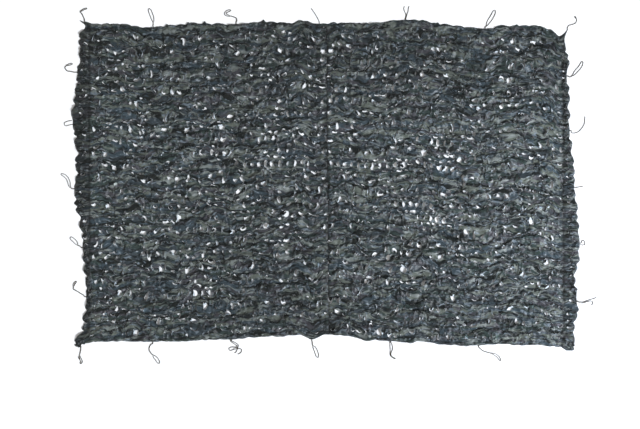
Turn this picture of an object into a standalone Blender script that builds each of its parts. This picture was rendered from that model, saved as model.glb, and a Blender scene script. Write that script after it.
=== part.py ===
"""Camouflage net, about 3.0 m by 2.0 m, laid out flat on a floor.

Two widths of leaf-cut cloth meet in a seam down the middle.  The cloth is cut in
rows of small leaves, so that it bunches into 24 low ridges that run from side to
side, with teardrop gaps between the leaves.  A turned hem runs round the outside,
its corners are pulled out into short points, and thin tie cords hang from it every
half metre along the long sides and every third of a metre along the short ones.

Axes: +X along the long side, +Y along the short side, +Z up.  The origin is on the
floor under the middle of the net.
"""
import math
import bpy
import bmesh
from mathutils import Vector, noise

MM = 0.001

# ---- cloth
CLOTH_T = 2.0 * MM            # cut cloth and its backing
HEM_T = 4.2 * MM              # turned hem at its outer edge
SEAM_T = 3.2 * MM             # lapped edges along the middle seam
HEM_BAND = 34.0 * MM          # hem along the two long sides
SEAM_GAP = 0.3 * MM           # clearance between the two widths
HEM_LINE_LEFT = -1.461        # stitch line of the left side hem
HEM_LINE_RIGHT = 1.466        # stitch line of the right side hem
HEM_MIN = 42.0 * MM           # the side hem is never narrower than this

# ---- ridges and leaves
RIDGES = 24                   # ridges from the bottom hem to the top hem
COLUMNS = 11                  # repeats of the leaf cutting across one width
LEAVES = 3                    # leaves in one repeat
RIDGE_LOFT = 15.0 * MM        # usual height of a ridge's crest
GAP_W = 21.0 * MM             # usual width of a gap at its wide end
GAP_TALL = 0.74               # usual height of a gap, as a share of its slope
WANDER = 9.0 * MM             # how far a ridge strays from its straight line

# ---- tie cords
CORD_D = 3.8 * MM
CORD_STEP = 3.0 * CORD_D      # spacing of the points along a cord
CORD_LIFT = 0.15 * MM         # a cord lies this far over the floor
SEAT_GAP = 0.3 * MM           # clearance between a cord's end and the hem
SEAT_HALF = 9.5 * MM          # half of the straight bit of hem behind a tie
PAIR = 5.0 * MM               # centre distance of two strands side by side

# Where each edge of the cloth runs: (along, out), in millimetres from the origin.
EDGES = {
    "top": ((-1493, 1012), (-1420, 1000), (-1260, 1000), (-1120, 977), (-960, 990), (-790, 1001),
            (-555, 999), (-370, 1012), (-230, 1006), (-160, 1021), (-50, 1000), (60, 1008), (250, 1004),
            (430, 1020), (493, 1024), (580, 1021), (730, 997), (900, 976), (985, 970), (1110, 990),
            (1300, 988), (1380, 968), (1446, 922)),
    "bottom": ((-1512, -990), (-1420, -965), (-1250, -961), (-1075, -966), (-900, -964), (-750, -955),
               (-590, -952), (-450, -940), (-330, -934), (-160, -926), (-84, -950), (-10, -924),
               (60, -926), (150, -932), (240, -956), (400, -962), (510, -972), (590, -962), (730, -985),
               (870, -992), (942, -988), (1060, -980), (1250, -987), (1400, -994), (1471, -1000)),
    "left": ((-905, -1500), (-830, -1494), (-760, -1482), (-690, -1481), (-560, -1488), (-386, -1502),
             (-300, -1506), (-200, -1532), (-100, -1550), (-20, -1555), (60, -1546), (190, -1541),
             (280, -1547), (375, -1564), (450, -1566), (540, -1553), (620, -1544), (700, -1536),
             (780, -1530), (850, -1512), (925, -1520), (976, -1500)),
    "right": ((-955, 1527), (-850, 1532), (-770, 1558), (-713, 1549), (-620, 1543), (-540, 1541),
              (-450, 1562), (-359, 1568), (-280, 1562), (-170, 1556), (-60, 1541), (-9, 1534),
              (70, 1538), (200, 1521), (325, 1506), (420, 1500), (560, 1502), (678, 1490), (760, 1496),
              (830, 1484), (899, 1478)),
}

# The four corners, pulled out into points: (column end, row end, x, y), millimetres.
CORNERS = (
    ("left", "top", -1533, 1018),
    ("left", "bottom", -1563, -968),
    ("right", "top", 1497, 962),
    ("right", "bottom", 1528, -1024),
)

# Where the net is more or less open: (x, y, reach, gain), millimetres and a share.
GAP_ZONES = (
    (480, 110, 330, 0.55),
    (620, -140, 240, 0.40),
    (-330, 90, 420, 0.25),
    (1250, 150, 420, 0.25),
    (60, 560, 500, 0.15),
    (-1380, 760, 330, -0.45),
    (-700, 930, 420, -0.35),
    (1300, 900, 300, -0.35),
    (-300, -880, 600, -0.35),
    (1250, -860, 420, -0.20),
)

# Tie cords.  Each row: (name, side, along, kind, loop width, route), millimetres.
# A route gives its points from the hem outwards, as (dx, dy) from the tie's seat.
#   plain: one strand to a free end;  pair: out and back, side by side;
#   noose: one strand, whose end comes round in a loop;  the number after
#   the kind is the share of the route before the loop opens;
#   eye: out and back, open in its middle, closed again past that share.
TIES = (
    ("tie_top_0", "top", -1491, "noose", 0.62, 7,
     ((0, 0), (-5, 24), (-18, 50), (-28, 60), (-14, 71), (2, 79), (15, 82))),
    ("tie_top_1", "top", -1068, "noose", 0.26, 19,
     ((0, 0), (1, 17), (1, 32), (-5, 58), (-14, 84), (-26, 112))),
    ("tie_top_2", "top", -555, "noose", 0.52, 11,
     ((0, 0), (4, 20), (1, 34), (-20, 44), (-42, 49), (-60, 54), (-67, 64), (-56, 76), (-32, 84))),
    ("tie_top_3", "top", -41, "plain", 1.0, 0,
     ((0, 0), (-4, 20), (-19, 48), (-33, 70), (-50, 93))),
    ("tie_top_4", "top", 489, "plain", 1.0, 0,
     ((0, 0), (4, 19), (4, 34), (-3, 50), (-8, 68), (-4, 83))),
    ("tie_top_4b", "top", 494, "plain", 1.0, 0,
     ((0, 0), (4, 19), (7, 34), (13, 50), (15, 66), (19, 83))),
    ("tie_top_5", "top", 983, "noose", 0.17, 21,
     ((0, 0), (9, 16), (22, 41), (40, 68), (53, 93), (60, 113))),
    ("tie_top_6", "corner", 1491, "plain", 1.0, 0,
     ((0, 0), (0, 12), (9, 26), (29, 32), (49, 40), (57, 54), (56, 66), (46, 82))),
    ("tie_left_1", "left", 699, "noose", 0.76, 9,
     ((0, 0), (-20, 1), (-42, 6), (-61, 9), (-74, 22), (-75, 34), (-64, 43), (-47, 49), (-30, 54))),
    ("tie_left_2", "left", 377, "plain", 1.0, 0,
     ((0, 0), (-22, -4), (-44, -8), (-51, -2), (-52, 10), (-40, 17), (-22, 22), (-6, 24))),
    ("tie_left_3", "left", -20, "noose", 0.18, 15,
     ((0, 0), (-15, 2), (-28, 17), (-33, 41), (-43, 64), (-60, 81), (-82, 90))),
    ("tie_left_4", "left", -383, "noose", 0.36, 19,
     ((0, 0), (-16, 7), (-32, 17), (-50, 39), (-77, 63))),
    ("tie_left_5", "left", -687, "noose", 0.76, 9,
     ((0, 0), (-16, 9), (-40, 24), (-66, 40), (-79, 47), (-78, 62), (-74, 80), (-60, 95))),
    ("tie_bottom_0", "bottom", -1514, "noose", 0.56, 10,
     ((0, 0), (-1, -26), (-6, -48), (-9, -62), (-3, -80), (4, -98), (-4, -110))),
    ("tie_bottom_1", "bottom", -1070, "noose", 0.62, 18,
     ((0, 0), (-15, -20), (-23, -43), (-15, -64), (9, -90), (25, -108), (40, -132))),
    ("tie_bottom_2", "bottom", -589, "plain", 1.0, 0,
     ((0, 0), (4, -14), (20, -24), (36, -36), (43, -50), (40, -63), (33, -76), (24, -82))),
    ("tie_bottom_2b", "bottom", -583, "plain", 1.0, 0,
     ((0, 0), (5, -11, 0), (22, -18, 1), (42, -32, 4), (39, -45, 5), (22, -46, 4), (-2, -46, 0),
      (-16, -54, 0), (-10, -67, 0), (8, -62, 1), (26, -56, 5), (44, -55, 5), (58, -57, 1), (62, -69, 0),
      (54, -82, 0), (38, -90, 0))),
    ("tie_bottom_3", "bottom", -87, "noose", 0.36, 19,
     ((0, 0), (3, -18), (4, -36), (17, -55), (28, -80), (37, -112))),
    ("tie_bottom_4", "bottom", 398, "eye", 0.62, 15,
     ((0, 0), (4, -20), (6, -48), (2, -70), (1, -84), (10, -96), (31, -108))),
    ("tie_bottom_5", "bottom", 943, "noose", 0.60, 12,
     ((0, 0), (9, -18), (30, -34), (66, -45), (94, -53), (118, -68), (136, -94))),
    ("tie_right_1", "right", 676, "noose", 0.27, 18,
     ((0, 0), (18, -6), (38, 5), (56, 27), (78, 51), (90, 71), (97, 91))),
    ("tie_right_2", "right", 340, "plain", 1.0, 0,
     ((0, 0), (12, -14), (30, -16), (54, -7), (72, 11), (86, 32), (92, 55), (94, 86))),
    ("tie_right_3", "right", -12, "plain", 1.0, 0,
     ((0, 0), (18, 1), (34, 4), (52, 7))),
    ("tie_right_4", "right", -356, "plain", 1.0, 0,
     ((0, 0), (11, 11), (22, 18), (29, 8), (31, -8), (16, -12), (3, -9))),
    ("tie_right_5", "right", -713, "plain", 1.0, 0,
     ((0, 0), (18, -4), (38, -6), (60, 1), (84, 9), (104, 14), (121, 22))),
    ("tie_right_5b", "right", -719, "plain", 1.0, 0,
     ((0, 0), (18, -5), (38, -7), (61, 0), (82, 5), (95, 4), (98, -6), (92, -22))),
)


def clear_scene():
    for item in list(bpy.data.objects):
        bpy.data.objects.remove(item, do_unlink=True)


def smooth(t):
    t = min(1.0, max(0.0, t))
    return t * t * (3.0 - 2.0 * t)


def mix(a, b, t):
    return a + (b - a) * t


def hash01(i, j, k):
    """The same value between 0 and 1 for the same leaf, every time."""
    v = math.sin(i * 12.9898 + j * 78.233 + k * 37.719) * 43758.5453
    return v - math.floor(v)


def wave(x, y, reach, seed):
    """Smooth unevenness between -1 and 1."""
    return noise.noise(Vector((x / reach, y / reach, seed * 7.31)))


# ---- outline -------------------------------------------------------------------

def seats(side):
    """Where the ties of one side sit, without their second strands."""
    return [row[2] * MM for row in TIES if row[1] == side and not row[0].endswith("b")]


def edge_out(side, along):
    """Distance of an edge from the origin: a smooth line through the side's table."""
    table = EDGES[side]
    here = along / MM
    if here <= table[0][0]:
        return table[0][1] * MM
    if here >= table[-1][0]:
        return table[-1][1] * MM
    for n in range(len(table) - 1):
        if here <= table[n + 1][0]:
            break
    (a0, v0), (a1, v1) = table[n], table[n + 1]
    return mix(v0, v1, smooth((here - a0) / (a1 - a0))) * MM


def near_seat(side, along):
    """0 at a tie's seat, 1 away from it."""
    gap = min([abs(along - s) for s in seats(side)] + [1.0])
    return smooth((gap - 2.0 * SEAT_HALF) / (45.0 * MM))


def ripple_edge(side, along):
    """Edge with the small bumps that the leaves of the hem make."""
    out = edge_out(side, along)
    sign = 1.0 if side in ("top", "right") else -1.0
    seat = [s for s in seats(side) if abs(along - s) < SEAT_HALF * 1.5]
    if seat:
        return edge_out(side, seat[0])
    bump = wave(along, 0.0, 0.045, {"top": 1, "bottom": 2, "left": 3, "right": 4}[side])
    return out + sign * 5.0 * MM * bump * near_seat(side, along)


# ---- the lattice of ridges and repeats -------------------------------------------

def seam_x(y):
    return (0.010 - 0.012 * y) + 0.004 * wave(y, 0.0, 0.30, 9)


def hem_line(side, y):
    edge = edge_out(side, y)
    if side == "left":
        return max(HEM_LINE_LEFT, edge + HEM_MIN)
    return min(HEM_LINE_RIGHT, edge - HEM_MIN)


def column_x(half, c, y):
    """x of a column line: c from 0 at the seam to COLUMNS at the hem's stitch line."""
    hem = hem_line(half, y)
    seam = seam_x(y)
    inner = math.sin(math.pi * min(1.0, c / COLUMNS))
    return mix(seam, hem, c / COLUMNS) + 0.012 * inner * wave(c * 0.13, y, 0.22, 5)


def row_y(x, r):
    """y of a row line: r from 0 at the bottom hem's stitching to RIDGES at the top's."""
    low = edge_out("bottom", x) + HEM_BAND
    high = edge_out("top", x) - HEM_BAND
    inner = smooth(min(r, RIDGES - r) / 1.5)
    side = smooth(min(abs(x + 1.53), abs(x - 1.53)) / 0.2)
    return mix(low, high, r / RIDGES) + WANDER * inner * side * wave(x, r * 0.08, 0.26, 6)


def calm(x, y):
    """How far the cloth may rise: low along the stitched lines, full between them."""
    hem = min(abs(x - HEM_LINE_LEFT), abs(x - HEM_LINE_RIGHT))
    seam = abs(x - seam_x(y))
    return smooth((hem + 0.012) / 0.09) * smooth((seam + 0.008) / 0.07)


def ridge_loft(x, r):
    """Height of the underside: crests between whole numbers of r, troughs at them."""
    crest = 0.5 - 0.5 * math.cos(2.0 * math.pi * r)
    row = math.floor(r)
    size = 0.95 + 0.75 * wave(x, row * 0.61, 0.24, 7) + 0.45 * wave(x, row * 0.37, 0.09, 8)
    return RIDGE_LOFT * max(0.25, size) * crest * calm(x, row_y(x, r))


def local_gain(x, y):
    total = 1.0
    for cx, cy, reach, gain in GAP_ZONES:
        d = math.hypot(x - cx * MM, y - cy * MM) / (reach * MM)
        total += gain * math.exp(-d * d)
    return total


# ---- cloth -------------------------------------------------------------------------

def lattice_point(half, c, line):
    """Point of the lattice.  c past COLUMNS is in the side hem, line 0 and the last
    line are the outer edges of the bottom and top hems."""
    last = 2 * RIDGES + 2
    r = min(RIDGES, max(0.0, (line - 1) / 2.0))
    y = mix(-0.95, 0.98, line / last)
    x = 0.0
    for _ in range(3):
        if c <= COLUMNS:
            x = column_x(half, c, y)
        else:
            outer = ripple_edge(half, y)
            x = mix(hem_line(half, y), outer, (c - COLUMNS) / 2.0)
        if line == 0:
            y = ripple_edge("bottom", x)
        elif line == last:
            y = ripple_edge("top", x)
        else:
            y = row_y(x, r)
    return x, y


def height(half, x, y, c, line):
    """Underside of the cloth: flat on the floor along the hems and in the troughs."""
    last = 2 * RIDGES + 2
    if line in (0, last) or c == COLUMNS + 2 or c == 0:
        return 0.0
    r = min(RIDGES, max(0.0, (line - 1) / 2.0))
    if c == COLUMNS + 1:
        puff = 7.0 * MM * (1.0 + 0.8 * wave(x, y, 0.06, 11))
        return puff * smooth(min(r, RIDGES - r) / 0.8)
    return ridge_loft(x, r)


def thickness(x, y, c, line):
    last = 2 * RIDGES + 2
    if line in (0, last) or c == COLUMNS + 2:
        return HEM_T
    if line in (1, last - 1) or c == 0:
        return SEAM_T
    if c >= COLUMNS:
        return SEAM_T
    return CLOTH_T


def between(corner, u, t):
    """A point inside a cell, from its four corners."""
    low = [mix(corner[0][n], corner[1][n], u) for n in (0, 1)]
    high = [mix(corner[2][n], corner[3][n], u) for n in (0, 1)]
    return mix(low[0], high[0], t), mix(low[1], high[1], t)


def stations(side, grid):
    """Points along one edge: the lattice's own, one between each two of them on the
    long sides, and two close together behind each tie."""
    fixed = []
    for s in seats(side):
        fixed += [s - SEAT_HALF, s + SEAT_HALF]
    moved = []
    for g in grid:
        close = [f for f in fixed if abs(f - g) < 0.020]
        moved.append(min(close, key=lambda f: abs(f - g)) if close and g not in (grid[0], grid[-1]) else g)
    for n in range(1, len(moved)):
        if moved[n] <= moved[n - 1] + 0.002:
            moved[n] = grid[n]
    extra = []
    for n in range(len(moved) - 1):
        lo, hi = moved[n], moved[n + 1]
        inside = [f for f in fixed if lo + 0.004 < f < hi - 0.004]
        if not inside and side in ("top", "bottom") and hi - lo > 0.09:
            inside = [(lo + hi) / 2.0]
        extra.append(sorted(inside))
    return moved, extra


def cloth(name, half, material):
    """One width of the leaf-cut cloth, from the seam to its outer hem."""
    columns = COLUMNS + 2
    lines = 2 * RIDGES + 2
    sign = 1.0 if half == "right" else -1.0
    bm = bmesh.new()
    bmesh.ops.create_grid(bm, x_segments=columns, y_segments=lines, size=1.0)
    at = {}
    for v in bm.verts:
        c = round((v.co.x + 1.0) / 2.0 * columns)
        line = round((v.co.y + 1.0) / 2.0 * lines)
        if half == "left":
            c = columns - c
        at[(c, line)] = v
    ids = {v: key for key, v in at.items()}
    cells = {}
    for f in bm.faces:
        keys = [ids[v] for v in f.verts]
        cells[(min(k[0] for k in keys), min(k[1] for k in keys))] = f

    info = {}
    for (c, line), v in at.items():
        x, y = lattice_point(half, c, line)
        info[v] = (x, y, c, line)

    # corners pulled out into points
    for end, rows, cx, cy in CORNERS:
        if end == half:
            line = lines if rows == "top" else 0
            info[at[(columns, line)]] = (cx * MM, cy * MM, columns, line)

    # finer points along the edges, with a straight bit behind each tie
    def refine(side, keys, axis):
        grid = [info[at[k]][axis] for k in keys]
        moved, extra = stations(side, grid)
        for n, key in enumerate(keys):
            v = at[key]
            if 0 < n < len(keys) - 1:
                a = moved[n]
                out = ripple_edge(side, a)
                x, y = (a, out) if axis == 0 else (out, a)
                info[v] = (x, y, key[0], key[1])
        for n in range(len(keys) - 1):
            first, second = at[keys[n]], at[keys[n + 1]]
            for a in extra[n]:
                edge = bm.edges.get((first, second))
                _, new = bmesh.utils.edge_split(edge, first, 0.5)
                out = ripple_edge(side, a)
                x, y = (a, out) if axis == 0 else (out, a)
                info[new] = (x, y, keys[n][0] if axis else -1, keys[n][1] if axis == 0 else -1)
                first = new

    order = list(range(columns + 1))
    if half == "left":
        order.reverse()
    refine("top", [(c, lines) for c in order], 0)
    refine("bottom", [(c, 0) for c in order], 0)
    refine(half, [(columns, n) for n in range(lines + 1)], 1)
    if half == "right":
        # the top right corner's cord leaves from a short straight tip
        tip = at[(columns, lines)]
        edge = bm.edges.get((tip, next_along_top(tip, info)))
        _, new = bmesh.utils.edge_split(edge, tip, 0.5)
        info[new] = (CORNERS[2][2] * MM - 12.0 * MM, CORNERS[2][3] * MM, -1, lines)

    # gaps between the leaves, cut through the lower slope of each ridge
    gaps = 0
    for row in range(1, RIDGES - 1):
        for c in range(COLUMNS):
            if (c + row) % 2:
                continue
            face = cells[(c, 2 * row + 1)]
            corner = [info[at[key]] for key in ((c, 2 * row + 1), (c + 1, 2 * row + 1),
                                                (c, 2 * row + 2), (c + 1, 2 * row + 2))]
            leaf = int(LEAVES * hash01(c * sign, row, 1)) % LEAVES
            u = (leaf + 0.5) / LEAVES
            wide = abs(corner[1][0] - corner[0][0])
            fx, fy = between(corner, u, 0.5)
            local = local_gain(fx, fy)
            w = GAP_W * mix(0.75, 1.2, hash01(c * sign, row, 2)) * mix(1.0, local, 0.5) / wide
            h = GAP_TALL * min(1.12, mix(0.8, 1.05, hash01(c * sign, row, 3)) * local)
            lean = 0.06 * (hash01(c * sign, row, 4) - 0.5)
            top = mix(0.35, 0.8, hash01(c * sign, row, 5))
            bmesh.ops.inset_individual(bm, faces=[face], thickness=0.001, use_even_offset=False)
            middle = face.calc_center_median()
            for v in face.verts:
                up = v.co.y > middle.y
                far = (v.co.x > middle.x) == (half == "right")
                du = (0.5 if far else -0.5) * w * (top if up else 1.0) + (lean if up else 0.0)
                t = 0.5 + (0.5 if up else -0.5) * h
                x, y = between(corner, u + du, t)
                info[v] = (x, y, ("gap", t, row), None)
            bmesh.ops.delete(bm, geom=[face], context="FACES_ONLY")
            gaps += 1

    thick = {}
    for v in bm.verts:
        x, y, c, line = info[v]
        if isinstance(c, tuple):
            lift = ridge_loft(x, c[2] + 0.5) * c[1]
            thick[v] = CLOTH_T
        else:
            lift = height(half, x, y, c, line)
            thick[v] = thickness(x, y, c, line)
        if c == 0:
            x += sign * SEAM_GAP / 2.0
        v.co = (x, y, lift)
    bmesh.ops.triangulate(bm, faces=bm.faces[:], quad_method="BEAUTY", ngon_method="BEAUTY")

    lower = {v: thick[v] for v in bm.verts}
    spots = {(round(v.co.x, 7), round(v.co.y, 7)): t for v, t in lower.items()}
    sheet = bm.faces[:] + bm.edges[:] + bm.verts[:]
    made = bmesh.ops.extrude_face_region(bm, geom=sheet, use_keep_orig=True)
    for v in [g for g in made["geom"] if isinstance(g, bmesh.types.BMVert)]:
        v.co.z += spots[(round(v.co.x, 7), round(v.co.y, 7))]
    bmesh.ops.recalc_face_normals(bm, faces=bm.faces[:])

    mesh = bpy.data.meshes.new(name)
    bm.to_mesh(mesh)
    bm.free()
    mesh.materials.append(material)
    item = bpy.data.objects.new(name, mesh)
    bpy.context.collection.objects.link(item)
    print(name, "gaps", gaps, "triangles", len(mesh.polygons))
    return item


def next_along_top(corner, info):
    """The next point beside a corner that is on the same long edge."""
    for edge in corner.link_edges:
        other = edge.other_vert(corner)
        if edge.is_boundary and info[other][3] == info[corner][3]:
            return other
    return None


# ---- tie cords -----------------------------------------------------------------------

def spline(points, count):
    """A smooth curve through a few points, read at even distances."""
    dense = []
    last = len(points) - 1
    for n in range(last):
        p0 = points[max(0, n - 1)]
        p1, p2 = points[n], points[n + 1]
        p3 = points[min(last, n + 2)]
        for k in range(12):
            t = k / 12.0
            bend = 2.0 * p0 - 5.0 * p1 + 4.0 * p2 - p3
            swing = 3.0 * p1 - p0 - 3.0 * p2 + p3
            dense.append(0.5 * (2.0 * p1 + (p2 - p0) * t + bend * t * t + swing * t * t * t))
    dense.append(points[last].copy())
    return even(dense, count)


def even(dense, count):
    steps = [0.0]
    for a, b in zip(dense, dense[1:]):
        steps.append(steps[-1] + (b - a).length)
    out = []
    n = 0
    for k in range(count):
        want = steps[-1] * k / (count - 1)
        while n < len(steps) - 2 and steps[n + 1] < want:
            n += 1
        span = max(1e-9, steps[n + 1] - steps[n])
        out.append(dense[n].lerp(dense[n + 1], (want - steps[n]) / span))
    return out


def run_length(points):
    return sum((b - a).length for a, b in zip(points, points[1:]))


def tie_route(kind, share, width, middle):
    """Centre line of a cord from the middle line of its tie."""
    if kind == "plain":
        return middle
    count = len(middle)
    near, far = [], []
    for n, p in enumerate(middle):
        t = n / (count - 1)
        ahead = (middle[min(count - 1, n + 1)] - middle[max(0, n - 1)]).normalized()
        across = Vector((-ahead.y, ahead.x, 0.0))
        if kind == "eye":
            gap = mix(PAIR, width * MM, math.sin(math.pi * min(1.0, t / share)) ** 1.2)
            gap *= math.sqrt(max(0.0, 1.0 - ((t - 0.94) / 0.06) ** 2)) if t > 0.94 else 1.0
        elif t < share:
            gap = PAIR * smooth(t / 0.08 + (1.0 if kind == "pair" else 0.0))
        else:
            s = (t - share) / (1.0 - share)
            gap = mix(PAIR, max(PAIR, width * MM), math.sin(math.pi * min(1.0, s * 1.25)) ** 0.8
                      if s < 0.4 else 1.0)
            gap *= math.sqrt(max(0.0, 1.0 - ((s - 0.75) / 0.25) ** 2)) if s > 0.75 else 1.0
        near.append(p + across * gap / 2.0)
        far.append(p - across * gap / 2.0)
    if kind in ("pair", "eye"):
        return near + far[::-1][1:]
    start = int(share * (count - 1))
    stem = middle[:max(1, start - 1)]
    return stem + near[start:] + far[start + 1:][::-1][1:]


def cord(name, side, along, kind, share, width, route, material):
    """A tie cord from its seat on the hem, lying on the floor."""
    out = {"top": (0.0, 1.0), "bottom": (0.0, -1.0), "left": (-1.0, 0.0), "right": (1.0, 0.0),
           "corner": (0.0, 1.0)}[side]
    if side == "corner":
        seat = Vector((along * MM, CORNERS[2][3] * MM, 0.0))
    elif side in ("top", "bottom"):
        own = min(seats(side), key=lambda s: abs(s - along * MM))
        seat = Vector((along * MM, edge_out(side, own), 0.0))
    else:
        own = min(seats(side), key=lambda s: abs(s - along * MM))
        seat = Vector((edge_out(side, own), along * MM, 0.0))
    outward = Vector((out[0], out[1], 0.0))
    level = Vector((0.0, 0.0, CORD_D / 2.0 + CORD_LIFT))
    start = seat + outward * SEAT_GAP + level
    points = [start, start + outward * 3.0 * MM, start + outward * 6.0 * MM, start + outward * 9.0 * MM]
    for step in route[1:]:
        lift = step[2] if len(step) > 2 else 0.0
        points.append(start + Vector((step[0] * MM, step[1] * MM, lift * MM)))
    middle = spline(points, 90)
    path = tie_route(kind, share, width, middle)
    total = run_length(path)
    path = even(path, max(4, int(round(total / CORD_STEP)) + 1))
    path[1] = path[0] + outward * CORD_STEP * 0.9
    if kind in ("pair", "eye"):
        path[-2] = path[-1] + outward * CORD_STEP * 0.9

    curve = bpy.data.curves.new(name, "CURVE")
    curve.dimensions = "3D"
    curve.bevel_depth = CORD_D / 2.0
    curve.bevel_resolution = 2
    curve.use_fill_caps = True
    line = curve.splines.new("POLY")
    line.points.add(len(path) - 1)
    for point, co in zip(line.points, path):
        point.co = (co.x, co.y, co.z, 1.0)
    curve.materials.append(material)
    item = bpy.data.objects.new(name, curve)
    bpy.context.collection.objects.link(item)
    return item, total


def make_material(name, colour, roughness):
    material = bpy.data.materials.new(name)
    material.use_nodes = True
    shader = material.node_tree.nodes["Principled BSDF"]
    shader.inputs["Base Color"].default_value = (*colour, 1.0)
    shader.inputs["Roughness"].default_value = roughness
    shader.inputs["Metallic"].default_value = 0.0
    return material


def main():
    clear_scene()
    cloth("cloth_left", "left", make_material("printed_cloth_left", (0.055, 0.066, 0.066), 0.78))
    cloth("cloth_right", "right", make_material("printed_cloth_right", (0.055, 0.066, 0.070), 0.78))
    for name, side, along, kind, share, width, route in TIES:
        item, total = cord(name, side, along, kind, share, width, route,
                           make_material(name + "_cord", (0.060, 0.062, 0.058), 0.7))
        print(name, round(total * 1000))


main()
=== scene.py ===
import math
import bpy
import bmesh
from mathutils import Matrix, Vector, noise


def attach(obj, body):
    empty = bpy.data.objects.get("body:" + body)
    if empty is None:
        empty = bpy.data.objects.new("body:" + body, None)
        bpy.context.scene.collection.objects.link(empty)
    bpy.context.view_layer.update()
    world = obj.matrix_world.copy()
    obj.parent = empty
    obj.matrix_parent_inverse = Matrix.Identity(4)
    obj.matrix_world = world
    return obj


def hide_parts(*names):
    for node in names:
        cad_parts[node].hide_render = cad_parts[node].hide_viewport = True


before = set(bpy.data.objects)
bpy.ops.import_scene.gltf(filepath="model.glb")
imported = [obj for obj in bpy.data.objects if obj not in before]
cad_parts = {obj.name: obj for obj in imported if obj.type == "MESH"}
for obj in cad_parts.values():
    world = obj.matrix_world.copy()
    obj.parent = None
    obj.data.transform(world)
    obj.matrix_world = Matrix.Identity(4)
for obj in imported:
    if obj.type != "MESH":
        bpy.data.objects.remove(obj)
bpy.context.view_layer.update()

# %% [markdown]
# # A camouflage net, laid out on a floor
# The net is two widths of printed cloth, sewn side by side. The cloth is cut in rows of
# small leaves, so it bunches into low ridges and opens into teardrop gaps. A turned hem
# runs round it, and thin cords hang from the hem for tying it to poles or branches.
#
# The frame that was just loaded holds the plain solids. Each cell below makes one
# finer piece that stands for one of them, in the same place and in metres.

MM = 0.001


def mix(a, b, t):
    return a + (b - a) * t


def smooth(t):
    t = min(1.0, max(0.0, t))
    return t * t * (3.0 - 2.0 * t)


def wave(x, y, reach, seed):
    """Smooth unevenness between -1 and 1, the same in every run."""
    return noise.noise(Vector((x / reach, y / reach, seed * 7.31)))


def hash01(i, j, k):
    """The same value between 0 and 1 for the same leaf, every time."""
    v = math.sin(i * 12.9898 + j * 78.233 + k * 37.719) * 43758.5453
    return v - math.floor(v)


def srgb(code):
    """A hex colour as the linear values that a shader wants."""
    parts = [int(code[n:n + 2], 16) / 255.0 for n in (1, 3, 5)]
    return [c / 12.92 if c <= 0.04045 else ((c + 0.055) / 1.055) ** 2.4 for c in parts] + [1.0]


def add_object(name, data):
    item = bpy.data.objects.new(name, data)
    bpy.context.scene.collection.objects.link(item)
    return item


# %% [markdown]
# ## The camera
# The net is seen from straight above, as a seller lays a net out and looks down on it.
# A 50 mm lens on a 36 mm sensor sees 0.72 m across for each metre of height, so 5.49 m
# of height takes in the 3.95 m that the net and its cords need with some room round
# them. The net lies a little above the middle of the view. Straight above is also a
# camera's own direction before it is turned, so only its place is set.

# %% Camera
VIEW_WIDTH = 3.955               # metres of floor across the view
VIEW_MIDDLE = (-0.037, -0.179)   # the point of the floor below the camera
LENS, SENSOR = 50.0, 36.0        # millimetres
camera = bpy.data.cameras.new("camera_above")
camera.lens, camera.sensor_width = LENS, SENSOR
camera_item = add_object("camera_above", camera)
camera_item.location = (*VIEW_MIDDLE, VIEW_WIDTH * LENS / SENSOR)
bpy.context.scene.camera = camera_item
print("camera height", round(camera_item.location.z, 3))

# %% [markdown]
# ## Floor and light
# The floor is a plain pale sheet, a stage and not a part of the net. Matt white paper has
# no highlight, and it shows white through the gaps. Soft light from all round keeps the
# shadows faint, a slanting sun from the lower right gives the cloth its relief, and a
# large lamp makes its right side a little brighter and bluer, as a window beside it would.

# %% Nodes: one helper for every material
def node(tree, kind, ins=(), **settings):
    """Add a node, set its properties, and fill or link its inputs by name or number."""
    made = tree.nodes.new(kind)
    for key, value in settings.items():
        setattr(made, key, value)
    for key, value in dict(ins).items():
        if isinstance(value, bpy.types.NodeSocket):
            tree.links.new(value, made.inputs[key])
        else:
            made.inputs[key].default_value = value
    return made


def new_material(name):
    material = bpy.data.materials.new(name)
    material.use_nodes = True
    return material, material.node_tree, material.node_tree.nodes["Principled BSDF"]


# %% Floor
FLOOR_HALF = 9.0             # metres from its middle to its edge
FLOOR_DROP = 0.4 * MM        # keeps it just clear of what lies on it
floor_mesh = bpy.data.meshes.new("floor_sheet")
bm = bmesh.new()
bmesh.ops.create_grid(bm, x_segments=1, y_segments=1, size=FLOOR_HALF)
bmesh.ops.translate(bm, verts=bm.verts, vec=(0.0, 0.0, -FLOOR_DROP))
bm.to_mesh(floor_mesh)
bm.free()
floor = add_object("floor_sheet", floor_mesh)
paper, _, shader = new_material("white_floor_paper")
shader.inputs["Base Color"].default_value = srgb("#f7f7f8")
shader.inputs["Roughness"].default_value = 0.9
shader.inputs["Specular IOR Level"].default_value = 0.1
floor_mesh.materials.append(paper)
print("floor half width", FLOOR_HALF)

# %% World and lamps
ROOM_LIGHT = 0.34            # light from all round, as from pale walls
world = bpy.data.worlds.new("soft_room")
bpy.context.scene.world = world
world.use_nodes = True
room = world.node_tree.nodes["Background"]
room.inputs["Color"].default_value = (1.0, 1.0, 1.0, 1.0)
room.inputs["Strength"].default_value = ROOM_LIGHT
bpy.context.scene.view_settings.view_transform = "Standard"

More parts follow.
